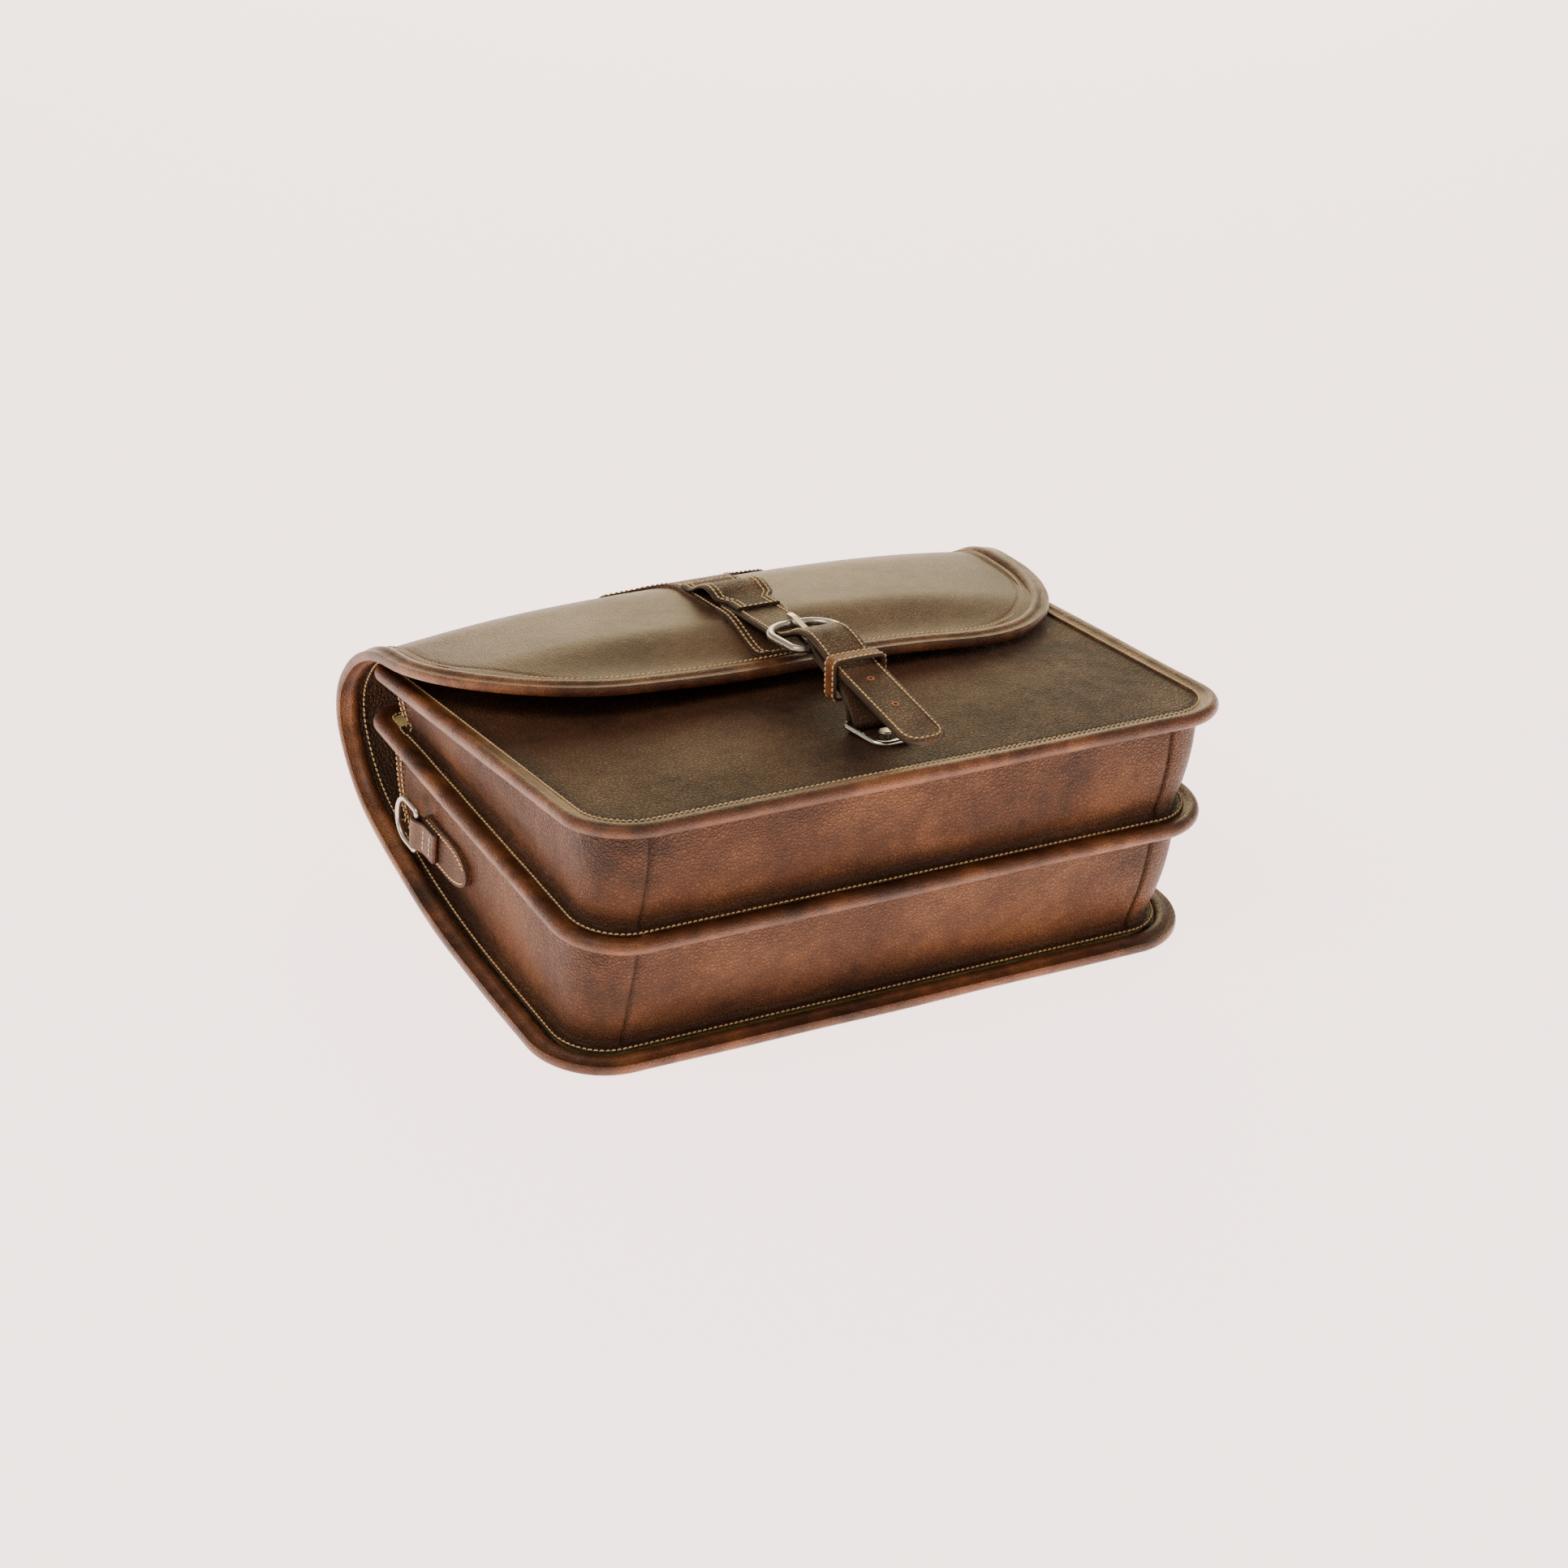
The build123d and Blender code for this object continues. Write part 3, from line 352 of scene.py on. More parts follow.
STITCH_PITCH, STITCH_LENGTH, THREAD = 3.4 * MM, 2.7 * MM, 0.50 * MM
STITCH_SLANT = 0.10
THREAD_SIDES = 6
STITCH_RINGS = (
    # place as a share of the length, size, rise above the leather
    (-0.5, 0.35, -0.9), (-0.34, 0.9, 0.05), (0.0, 1.0, 0.35), (0.34, 0.9, 0.05), (0.5, 0.35, -0.9),
)


def stitch_points(path, up, closed=False):
    """Corner points of the stitches along a path; up is one direction or one for each point."""
    up = np.broadcast_to(up, path.shape)
    if closed:
        path, up = np.vstack([path, path[:1]]), np.vstack([up, up[:1]])
    run = np.concatenate([[0], np.cumsum(np.linalg.norm(np.diff(path, axis=0), axis=1))])
    count = max(2, int(round(run[-1] / STITCH_PITCH)))
    at = (np.arange(count) + 0.5) * run[-1] / count
    at = at + rng.normal(0, 0.06 * MM, count)

    def sample(places, values):
        return np.stack([np.interp(places, run, values[:, k]) for k in range(3)], -1)

    middle, normal = sample(at, path), unit(sample(at, up))
    go = unit(sample(at + MM, path) - sample(at - MM, path))
    side = unit(np.cross(normal, go))
    go = unit(go + side * (STITCH_SLANT + rng.normal(0, 0.03, count))[:, None])
    side = unit(np.cross(normal, go))
    length = STITCH_LENGTH * (1 + rng.normal(0, 0.05, count))
    corners = []
    for share, size, rise in STITCH_RINGS:
        centre = middle + go * (share * length)[:, None] + normal * rise * THREAD
        for angle in np.arange(THREAD_SIDES) * 2 * pi / THREAD_SIDES:
            corners.append(centre + (side * cos(angle) + normal * sin(angle)) * THREAD * size)
    return np.stack(corners, 1)


def thread(name, blocks, material):
    """All the stitches of one piece as a single object."""
    points = np.concatenate(blocks)
    count, each = points.shape[:2]
    one = net_faces(each // THREAD_SIDES, THREAD_SIDES, 0, wrap_columns=True)
    one += [list(range(THREAD_SIDES)), [each - 1 - k for k in range(THREAD_SIDES)]]
    faces = [[v + k * each for v in face] for k in range(count) for face in one]
    return make(name, points, faces, [material])


# %% [markdown]
# Every leather here shares two effects, so each is a node group: the pebbled grain that is rolled
# into the hide, and the uneven stain that was rubbed on by hand. Each material then places them
# with its own sizes and colours.

# %% Node helpers and the grain group
def node(tree, kind, inputs=None, **settings):
    made = tree.nodes.new(kind)
    for key, value in settings.items():
        setattr(made, key, value)
    for key, value in (inputs or {}).items():
        if isinstance(value, bpy.types.NodeSocket):
            tree.links.new(value, made.inputs[key])
        else:
            made.inputs[key].default_value = value
    return made


def math(tree, operation, a, b=0.5, c=0.0, clamp=False):
    made = node(tree, "ShaderNodeMath", {0: a, 1: b, 2: c}, operation=operation, use_clamp=clamp)
    return made.outputs[0]


def remap(tree, value, low, high, new_low=0.0, new_high=1.0):
    inputs = {"Value": value, "From Min": low, "From Max": high, "To Min": new_low, "To Max": new_high}
    return node(tree, "ShaderNodeMapRange", inputs, interpolation_type="SMOOTHSTEP").outputs[0]


def mix(tree, factor, a, b, blend="MIX"):
    made = node(tree, "ShaderNodeMix", {"Factor": factor}, data_type="RGBA", blend_type=blend)
    for socket, value in ((made.inputs[6], a), (made.inputs[7], b)):
        if isinstance(value, bpy.types.NodeSocket):
            tree.links.new(value, socket)
        else:
            socket.default_value = (*value, 1) if len(value) == 3 else value
    return made.outputs[2]


def noise(tree, place, scale, detail=2.0, rough=0.5):
    inputs = {"Vector": place, "Scale": scale, "Detail": detail, "Roughness": rough}
    return node(tree, "ShaderNodeTexNoise", inputs)


def bumped(tree, height, depth, distance, shader):
    """Send a height to the shader as a change of its normal."""
    inputs = {"Height": height, "Strength": depth, "Distance": distance}
    tree.links.new(node(tree, "ShaderNodeBump", inputs).outputs[0], shader.inputs["Normal"])


def group(name, inputs, outputs):
    tree = bpy.data.node_groups.new(name, "ShaderNodeTree")
    for title, kind, default in inputs:
        socket = tree.interface.new_socket(title, in_out="INPUT", socket_type=kind)
        socket.default_value = default
    for title, kind in outputs:
        tree.interface.new_socket(title, in_out="OUTPUT", socket_type=kind)
    return tree, tree.nodes.new("NodeGroupInput").outputs, tree.nodes.new("NodeGroupOutput").inputs


def grain_group():
    tree, given, out = group(
        "pebble_grain",
        [("Cells", "NodeSocketFloat", 620.0), ("Warp", "NodeSocketFloat", 0.0016)],
        [("Height", "NodeSocketFloat"), ("Crease", "NodeSocketFloat")],
    )
    place = node(tree, "ShaderNodeTexCoord").outputs["Object"]
    drift = noise(tree, place, 160.0)
    shift = node(
        tree, "ShaderNodeVectorMath", {0: drift.outputs["Color"], 1: (0.5, 0.5, 0.5)}, operation="SUBTRACT"
    )
    scaled = node(
        tree, "ShaderNodeVectorMath", {0: shift.outputs[0], "Scale": given["Warp"]}, operation="SCALE"
    )
    moved = node(tree, "ShaderNodeVectorMath", {0: place, 1: scaled.outputs[0]}, operation="ADD").outputs[0]
    cells = node(
        tree, "ShaderNodeTexVoronoi", {"Vector": moved, "Scale": given["Cells"]}, feature="DISTANCE_TO_EDGE"
    )
    small = node(
        tree, "ShaderNodeTexVoronoi", {"Vector": moved, "Scale": math(tree, "MULTIPLY", given["Cells"], 2.1)},
        feature="DISTANCE_TO_EDGE",
    )
    fine = noise(tree, place, 2600.0)
    bumps = remap(tree, cells.outputs["Distance"], 0.0, 0.30)
    little = remap(tree, small.outputs["Distance"], 0.0, 0.35)
    height = math(tree, "MULTIPLY_ADD", little, 0.22, math(tree, "MULTIPLY", bumps, 0.68))
    height = math(tree, "MULTIPLY_ADD", fine.outputs["Fac"], 0.12, height)
    tree.links.new(height, out["Height"])
    crease = math(tree, "SUBTRACT", 1.0, remap(tree, cells.outputs["Distance"], 0.0, 0.12))
    tree.links.new(crease, out["Crease"])
    return tree


def stain_group():
    tree, given, out = group(
        "hand_stain",
        [
            ("Dark", "NodeSocketColor", (0.02, 0.01, 0.01, 1)),
            ("Mid", "NodeSocketColor", (0.1, 0.05, 0.03, 1)),
            ("Light", "NodeSocketColor", (0.2, 0.1, 0.05, 1)),
            ("Patches", "NodeSocketFloat", 13.0),
        ],
        [("Color", "NodeSocketColor"), ("Cloud", "NodeSocketFloat")],
    )
    place = node(tree, "ShaderNodeTexCoord").outputs["Object"]
    wide = noise(tree, place, given["Patches"], 3.0, 0.55)
    rubbed = noise(tree, place, 95.0, 4.0, 0.65)
    wide = math(tree, "MULTIPLY", wide.outputs["Fac"], 0.72)
    cloud = math(tree, "MULTIPLY_ADD", rubbed.outputs["Fac"], 0.28, wide)
    low = mix(tree, remap(tree, cloud, 0.34, 0.50), given["Dark"], given["Mid"])
    tree.links.new(mix(tree, remap(tree, cloud, 0.48, 0.66), low, given["Light"]), out["Color"])
    tree.links.new(cloud, out["Cloud"])
    return tree


GRAIN, STAIN = grain_group(), stain_group()
print("groups:", GRAIN.name, STAIN.name)

# %% [markdown]
# A waxed hide has a soft gloss of its own over the coloured leather. The Principled shader's coat
# gives that second, sharper layer. A float attribute on a mesh darkens the stain: near the edges
# of the panels it is wax and dirt that collect at a seam, and on the gusset walls it is painted shade.

# %% Leather
GRAIN_DEPTH, FIBRE_DEPTH = 1.9 * MM, 0.3 * MM
SHEEN_TINT, WAX_TINT = (1.0, 0.86, 0.66, 1), (1.0, 0.88, 0.70, 1)
WAX_ROUGH, WAX_IOR = 0.30, 1.5


def leather(name, dark, mid, light, cells=400.0, depth=0.60, rough=(0.40, 0.54), coat=0.10,
            patches=13.0, seam_colour=None, crease_dark=0.55, shine=0.45):
    material = bpy.data.materials.new(name)
    material.use_nodes = True
    tree = material.node_tree
    shader = tree.nodes["Principled BSDF"]
    stain = node(tree, "ShaderNodeGroup", node_tree=STAIN)
    for title, colour in (("Dark", dark), ("Mid", mid), ("Light", light)):
        stain.inputs[title].default_value = (*colour, 1)
    stain.inputs["Patches"].default_value = patches
    grain = node(tree, "ShaderNodeGroup", node_tree=GRAIN)
    grain.inputs["Cells"].default_value = cells
    seam_dirt_and_shade = node(tree, "ShaderNodeAttribute", attribute_name="seam_dirt_and_shade").outputs["Fac"]
    creased = math(tree, "MULTIPLY", grain.outputs["Crease"], crease_dark)
    colour = mix(tree, creased, stain.outputs["Color"], tuple(c * 0.5 for c in dark))
    # darker where the mesh attribute is high: wax and dirt at panel edges, painted shade on gusset walls
    colour = mix(tree, math(tree, "MULTIPLY", seam_dirt_and_shade, 0.85, clamp=True), colour, seam_colour or dark)
    tree.links.new(colour, shader.inputs["Base Color"])
    gloss = remap(tree, stain.outputs["Cloud"], 0.35, 0.65, rough[1], rough[0])
    gloss = math(tree, "ADD", gloss, math(tree, "MULTIPLY", grain.outputs["Crease"], 0.12))
    tree.links.new(gloss, shader.inputs["Roughness"])
    bumped(tree, grain.outputs["Height"], depth, GRAIN_DEPTH, shader)
    shader.inputs["Specular IOR Level"].default_value = shine
    shader.inputs["Specular Tint"].default_value = SHEEN_TINT
    shader.inputs["Coat Tint"].default_value = WAX_TINT
    shader.inputs["Coat Weight"].default_value = coat
    shader.inputs["Coat Roughness"].default_value = WAX_ROUGH
    shader.inputs["Coat IOR"].default_value = WAX_IOR
    return material


HIDE = leather(
    "pebbled_hide", (0.034, 0.011, 0.004), (0.104, 0.036, 0.012), (0.190, 0.075, 0.026), depth=0.8,
    shine=0.30,
)
FRONT_HIDE = leather(
    "front_hide", (0.032, 0.011, 0.005), (0.090, 0.034, 0.013), (0.145, 0.060, 0.025), patches=9.0,
    depth=0.8, rough=(0.48, 0.60), coat=0.02, shine=0.26,
)
FLAP_HIDE = leather(
    "waxed_flap", (0.052, 0.021, 0.008), (0.098, 0.043, 0.017), (0.145, 0.070, 0.029), cells=520.0,
    depth=0.35, rough=(0.40, 0.50), coat=0.16, patches=7.0, seam_colour=(0.070, 0.021, 0.007),
    crease_dark=0.22,
)
INNER_HIDE = leather("inner_hide", (0.022, 0.008, 0.004), (0.050, 0.019, 0.009), (0.078, 0.032, 0.015))
ROLL_HIDE = leather(
    "burnished_roll", (0.034, 0.009, 0.003), (0.100, 0.030, 0.010), (0.210, 0.074, 0.023), cells=560.0,
    depth=0.35, rough=(0.32, 0.46), coat=0.18, patches=24.0, crease_dark=0.45,
)
STRAP_HIDE = leather(
    "strap_hide", (0.032, 0.012, 0.005), (0.080, 0.033, 0.014), (0.135, 0.062, 0.028), cells=420.0,
    depth=0.6, rough=(0.46, 0.58), coat=0.04, patches=25.0, shine=0.35,
)
KEEPER_HIDE = leather(
    "keeper_hide", (0.080, 0.022, 0.006), (0.175, 0.056, 0.015), (0.280, 0.105, 0.032), cells=700.0,
    depth=0.15, rough=(0.46, 0.58), coat=0.04, patches=40.0, crease_dark=0.25, shine=0.3,
)
EDGE = leather(
    "painted_edge", (0.014, 0.007, 0.004), (0.030, 0.016, 0.009), (0.050, 0.028, 0.016), cells=1500.0,
    depth=0.10, rough=(0.45, 0.60), coat=0.05,
)

# %% [markdown]
# Thread, suede, board and nickel each need their own surface. Thread shows its twist, suede is
# all fibre and no gloss, and old nickel has a brushed, patchy warmth.

# %% Thread, suede, board and nickel
def plain(name, colour, rough, metallic=0.0, scale=400.0, change=0.25, depth=0.1,
          stretch=(1, 1, 1), sheen=0.0, rough_change=0.1):
    material = bpy.data.materials.new(name)
    material.use_nodes = True
    tree = material.node_tree
    shader = tree.nodes["Principled BSDF"]
    place = node(tree, "ShaderNodeTexCoord").outputs["Object"]
    scaled = node(tree, "ShaderNodeMapping", {"Vector": place, "Scale": stretch}).outputs[0]
    fibre = noise(tree, scaled, scale, 5.0, 0.6)
    patch = noise(tree, place, scale * 0.08)
    patch = math(tree, "MULTIPLY", patch.outputs["Fac"], 0.5)
    both = math(tree, "MULTIPLY_ADD", fibre.outputs["Fac"], 0.5, patch)
    dark = tuple(c * (1 - change) for c in colour)
    light = tuple(min(1, c * (1 + change)) for c in colour)
    tree.links.new(mix(tree, remap(tree, both, 0.35, 0.65), dark, light), shader.inputs["Base Color"])
    tree.links.new(
        remap(tree, fibre.outputs["Fac"], 0.3, 0.7, rough - rough_change, rough + rough_change),
        shader.inputs["Roughness"],
    )
    bumped(tree, fibre.outputs["Fac"], depth, FIBRE_DEPTH, shader)
    shader.inputs["Metallic"].default_value = metallic
    shader.inputs["Sheen Weight"].default_value = sheen
    return material


THREAD_GOLD = plain("gold_thread", (0.74, 0.50, 0.22), 0.55, scale=2200.0, change=0.20, depth=0.5)
SUEDE = plain("olive_suede", (0.52, 0.39, 0.10), 0.92, scale=900.0, change=0.30, depth=0.5, sheen=0.5)
BOARD = plain("grey_board", (0.34, 0.28, 0.20), 0.9, scale=300.0)
NICKEL = plain(
    "antique_nickel", (0.50, 0.455, 0.37), 0.34, metallic=1.0, scale=500.0, change=0.22, depth=0.06,
    stretch=(1, 0.35, 1), rough_change=0.08,
)
BRIGHT = plain("bright_nickel", (0.72, 0.69, 0.62), 0.17, metallic=1.0, scale=500.0, change=0.12, depth=0.03,
               rough_change=0.05)
PUNCHED = plain("punched_edge", (0.46, 0.13, 0.03), 0.6, scale=1500.0)
# Near-black plug material: painted shade inside the strap's holes and slot.
HOLE_SHADE = plain("painted_hole_shade", (0.010, 0.006, 0.004), 0.9, scale=1500.0)
SLOTS = {
    "shell_leather": (HIDE, FRONT_HIDE, INNER_HIDE), "flap_leather": (FLAP_HIDE,),
    "trim_leather": (ROLL_HIDE, THREAD_GOLD), "lining": (SUEDE,), "board": (BOARD,),
    "strap_leather": (STRAP_HIDE, KEEPER_HIDE, EDGE, PUNCHED, HOLE_SHADE), "nickel": (NICKEL, BRIGHT),
}
SLOT_OF = {material: slot for slot, materials in SLOTS.items() for material in materials}
for names, material in (
    (("back_lining", "divider_lining", "front_lining"), SUEDE),
    (("divider_board", "front_board"), BOARD),
    (("buckle_frame", "buckle_prong", "clasp_stud", "handle_mount_left", "handle_mount_right",
      "shoulder_ring_left", "shoulder_ring_right"), NICKEL),
    (("clasp_clip",), BRIGHT),
):
    for name in names:
        mesh = frame["nodes"][name].data
        mesh.materials.clear()
        mesh.materials.append(material)


def fit(piece, body, *nodes, bend=None):
    """Give a piece its body, or, for a piece across a bend, only fix its points in place; hide the nodes it
    covers.
    """
    if bend is None:
        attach(piece, body)
    else:
        other, number = bend
        y, z = bends[number]
        step = along(headings[number]) * 14 * MM
        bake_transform(piece)
    if nodes:
        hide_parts(*nodes)
    print(piece.name, len(piece.data.polygons), "faces")
    return piece


# %% [markdown]
# The long sheet is cut at two places that never bend: the middles of the two lower stretches of
# the fold. Each of the three lengths then crosses just one bend line.

# %% The back, the fold and the flap
CUTS = (0.0, (bend_s[0] + bend_s[1]) / 2, (bend_s[1] + bend_s[2]) / 2, sheet_length)
EDGE_INSET = 2 * MM
THIN = 3 * MM


def belly(x, s):
    """The soft back sags between its bindings where they leave the ground."""
    rise = np.clip(s - FLAT_BACK, 0, None) ** 2 / (2 * stretches[1][0] / stretches[1][1])
    inside = 1 - np.abs(np.clip(x / half, -1, 1)) ** 8
    return rise * inside * (1 - smooth(s, 0.172, bend_s[0] - 0.01))


def outer_skin(x, s, edge=None):
    """Height of the outside of the sheet above its middle line."""
    back = 1 - smooth(s, bend_s[0] - 0.03, bend_s[0] + 0.01)
    height = SKIN + back * (ROLL - SKIN) + belly(x, s) + crown(x, s)
    if edge is not None:
        height = height - back * 1.6 * MM * (1 - smooth(edge, 0.004, 0.016))
        height = height - 0.5 * MM * np.exp(-(((edge - 9.6 * MM) / (1.1 * MM)) ** 2)) * (1 - back)
    return height


def ripple(x, y, size, amount):
    """Soft, even unevenness of hand-worked leather, the same on every run."""
    a = np.sin(x * size * 1.0 + 1.3) * np.cos(y * size * 1.31 + 0.4)
    b = np.sin((x + y) * size * 0.63 + 2.1) + np.cos((x * 0.8 - y) * size * 0.47 + 0.9)
    return amount * (a + 0.6 * b) / 2.2


u_line = spread(-half + EDGE_INSET, half - EDGE_INSET, 1.5 * MM, 5 * MM, 16 * MM)
pieces = (
    ("back_skin", "case", "flap_lower", 0, HIDE,
     ("back_panel", "flap_leather_lower", "flap_lining_lower")),
    ("fold_skin", "flap_lower", "flap_upper", 1, FLAP_HIDE, ("flap_leather_upper", "flap_lining_upper")),
    ("flap_skin", "flap_upper", "flap_front", 2, FLAP_HIDE, ("flap_leather_front", "flap_lining_front")),
)
all_s = spread(EDGE_INSET, sheet_length - EDGE_INSET, 1.5 * MM, 3.5 * MM, 16 * MM)
for name, body, other, number, hide, nodes in pieces:
    first, last = max(CUTS[number], all_s[0]), min(CUTS[number + 1], all_s[-1])
    line = all_s[(all_s > first + 0.8 * MM) & (all_s < last - 0.8 * MM)]
    line = np.concatenate([[first], line, [last]])
    u, v = np.meshgrid(u_line, line, indexing="ij")
    x, s, edge = rounded(u, v, sheet_length, CORNER, FLAP_CORNER)
    high = outer_skin(x, s, edge) + ripple(x, s, 60, 0.35 * MM) * smooth(edge, 0.01, 0.03)
    back = 1 - smooth(s, bend_s[0] - 0.02, bend_s[0] + 0.02)
    low = np.where(s < bend_s[0] + 0.02, 0.9 * MM * back - SKIN * (1 - back), high - THIN)
    low = np.minimum(np.where(s > bend_s[2] - 0.02, high - THIN, low), high - 1.5 * MM)
    low = np.where((s > bend_s[0] + 0.02) & (s < bend_s[2] - 0.02), -1 * MM, low)
    seam_dirt_and_shade = 1 - smooth(edge, 6 * MM, 22 * MM)
    made = sheet(name, wrap(x, s, high), wrap(x, s, low), [hide, INNER_HIDE], seam_dirt_and_shade)
    fit(made, body, *nodes, bend=(other, number))

# %% [markdown]
# The binding is one strip of leather rolled over the edge of the sheet, with a flat lip that is
# sewn down. Its section is a ring with two lips, swept round the outline on the flat sheet and
# then wrapped, so it follows the fold and the curled corner by itself.

# %% Bindings of the back, the fold and the flap
def roll_section(lip_reach, lip):
    """Ring with a flat lip towards the panel on each face: (outwards, up) pairs, anticlockwise."""
    first = asin((lip + 0.1 * MM) / ROLL)
    ring = [(ROLL * cos(a), ROLL * sin(a)) for a in np.linspace(pi - first, -pi + first, 20)]
    begin = -lip_reach + 0.8 * MM
    lips = [(begin, -lip), (-lip_reach, -lip * 0.5), (-lip_reach, lip * 0.5), (begin, lip)]
    return np.array([*ring, *lips])[::-1]


LIP_REACH = 8.8 * MM
sheet_outline = outline(sheet_length, CORNER, FLAP_CORNER, 0.0, 3 * MM)


def sheet_frames(points):
    """Path on the wrapped sheet with its sideways and upward directions."""
    x, s = points[:, 0], points[:, 1]
    path = wrap(x, s, 0.0)
    up = unit(wrap(x, s, MM) - path)
    return path, unit(np.cross(tangents(path), up)), up


def parts_of_outline(points):
    """Index runs of the outline on each of the three lengths of the sheet."""
    s = points[:, 1]
    count = len(points)
    for number in range(3):
        inside = (s >= CUTS[number] - 1e-9) & (s <= CUTS[number + 1] + 1e-9)
        begins = [k for k in range(count) if inside[k] and not inside[k - 1]]
        runs = []
        for begin in begins:
            end = begin
            while inside[(end + 1) % count]:
                end += 1
            runs.append([k % count for k in range(begin, end + 1)])
        yield number, runs


def close_cut(points, run, number):
    """Move the two ends of a run exactly onto the cuts."""
    moved = points[run].copy()
    for k in (0, -1):
        cut = min((CUTS[number], CUTS[number + 1]), key=lambda c: abs(c - moved[k, 1]))
        if 0 < cut < sheet_length:
            moved[k, 1] = cut
    return moved


def joined(name, objects):
    """Several objects as one."""
    with bpy.context.temp_override(active_object=objects[0], selected_editable_objects=objects):
        bpy.ops.object.join()
    objects[0].name = name
    return objects[0]


section = roll_section(LIP_REACH, 2.9 * MM)
roll_nodes = (
    ("back_binding", "flap_binding_lower_left", "flap_binding_lower_right"),
    ("flap_binding_upper_left", "flap_binding_upper_right"),
    ("flap_binding_front",),
)
bodies = (("case", "flap_lower"), ("flap_lower", "flap_upper"), ("flap_upper", "flap_front"))
for number, runs in parts_of_outline(sheet_outline):
    tubes = []
    for run in runs:
        points = close_cut(sheet_outline, run, number)
        path, side, up = sheet_frames(points)
        wobble = ripple(points[:, 0], points[:, 1], 55, 0.05)[:, None, None]
        tubes.append(sweep("roll", path, side, up, section[None] * (1 + wobble), [ROLL_HIDE]))
    made = tubes[0] if len(tubes) == 1 else joined("roll", tubes)
    made.name = ("back_roll", "fold_rolls", "flap_roll")[number]
    fit(made, bodies[number][0], *roll_nodes[number], bend=(bodies[number][1], number))

# %% [markdown]
# Two rows of thread hold the binding: one on the outside of the sheet and one on the inside.

# %% Thread round the sheet
SEW = 7.4 * MM
row_points = outline(sheet_length, CORNER, FLAP_CORNER, SEW, 2 * MM)
for number, runs in parts_of_outline(row_points):
    blocks = []
    for run in runs:
        points = close_cut(row_points, run, number)
        for face in (1, -1):
            path = wrap(points[:, 0], points[:, 1], face * 3.0 * MM)
            up = unit(wrap(points[:, 0], points[:, 1], face * 4.0 * MM) - path)
            blocks.append(stitch_points(path, up))
    made = thread(("back_thread", "fold_thread", "flap_thread")[number], blocks, THREAD_GOLD)
    fit(made, bodies[number][0], bend=(bodies[number][1], number))

# %% [markdown]
# The front panel is a single hide over board. It swells a little in the middle, dips where the
# binding grips it, and its lips of binding are sewn through both faces.

# %% Front panel and divider
def panel_net(panel):
    u_places, v_places = (
        spread(low + EDGE_INSET, high - EDGE_INSET, 1.5 * MM, 6 * MM, 16 * MM)
        for low, high in ((-half, half), (0, panel.length))
    )
    u, v = np.meshgrid(u_places, v_places, indexing="ij")
    return rounded(u, v, panel.length, CORNER, MOUTH_CORNER)


HALF_STACK = 2.2 * MM
x, y, edge = panel_net(front)
top = HALF_STACK + 1.3 * MM * smooth(edge, 8 * MM, 60 * MM)
top = top + ripple(x, y, 38, 0.5 * MM) * smooth(edge, 0.01, 0.05)
top = top - 0.6 * MM * np.exp(-(((edge - 9.8 * MM) / (1.2 * MM)) ** 2))
seam_dirt_and_shade = 1 - smooth(edge, 7 * MM, 24 * MM)
made = sheet(
    "front_panel", front.place(x, y, top), front.place(x, y, 0.2 * MM + 0 * x), [FRONT_HIDE], seam_dirt_and_shade
)
fit(made, "case", "front_leather")

x, y, edge = panel_net(divider)
top = HALF_STACK + ripple(x, y, 45, 0.3 * MM) * smooth(edge, 0.01, 0.05)
made = sheet("divider_face", divider.place(x, y, top), divider.place(x, y, 0.2 * MM + 0 * x), [SUEDE])
fit(made, "case", "divider_leather")

for name, panel in (("front", front), ("divider", divider)):
    points = outline(panel.length, CORNER, MOUTH_CORNER, 0.0, 3 * MM)
    x, y = points[:, 0], points[:, 1]
    path = panel.place(x, y, 0)
    up = unit(panel.place(x, y, MM) - path)
    side = unit(np.cross(tangents(path, closed=True), up))
    wobble = ripple(x, y, 50, 0.05)[:, None, None]
    made = sweep(f"{name}_roll", path, side, up, section[None] * (1 + wobble), [ROLL_HIDE], closed=True)
    fit(made, "case", f"{name}_binding")
    points = outline(panel.length, CORNER, MOUTH_CORNER, SEW, 2 * MM)
    blocks = []
    for face in ((1,) if name == "front" else (1, -1)):
        path = panel.place(points[:, 0], points[:, 1], face * 3.05 * MM)
        up = unit(panel.place(points[:, 0], points[:, 1], face * 4 * MM) - path)
        blocks.append(stitch_points(path, up, closed=True))
    fit(thread(f"{name}_thread", blocks, THREAD_GOLD), "case")

# %% [markdown]
# A gusset is a long strip of soft leather. Its lower edge is turned out and sewn flat beside the
# binding below it, then the wall rises in a soft curve and tucks under the binding above. It is
# pieced near the bottom corners, where each seam shows as a thin dark line.

# %% Gussets
WALL_SAG = (
    # inset from the binding's middle, height in millimetres, share of the whole height
    (5.6, 3.7, 0), (7.2, 4.3, 0), (9.2, 4.4, 0), (10.9, 5.2, 0), (11.9, 7.6, 0), (11.8, 11.0, 0),
    (10.6, 2.0, 0.22), (8.9, 0, 0.45), (8.3, 0, 0.62), (8.6, 0, 0.80), (9.4, -5.6, 1), (10.2, -3.0, 1),
)
WALL_ROWS = 44
SEAM_X = half - 38 * MM
MOUTH_SET = 12 * MM


def smooth_rows(values, count):
    """A soft curve through a few chosen values, sampled evenly."""
    values = np.asarray(values, float)
    at = np.linspace(0, len(values) - 1, count)
    k = np.clip(at.astype(int), 0, len(values) - 2)
    t = (at - k)[:, None]
    before, after = np.clip(k - 1, 0, None), np.clip(k + 2, None, len(values) - 1)
    a, b, c, d = values[before], values[k], values[k + 1], values[after]
    return 0.5 * (2 * b + (c - a) * t + (2 * a - 5 * b + 4 * c - d) * t**2 + (3 * b - a - 3 * c + d) * t**3)


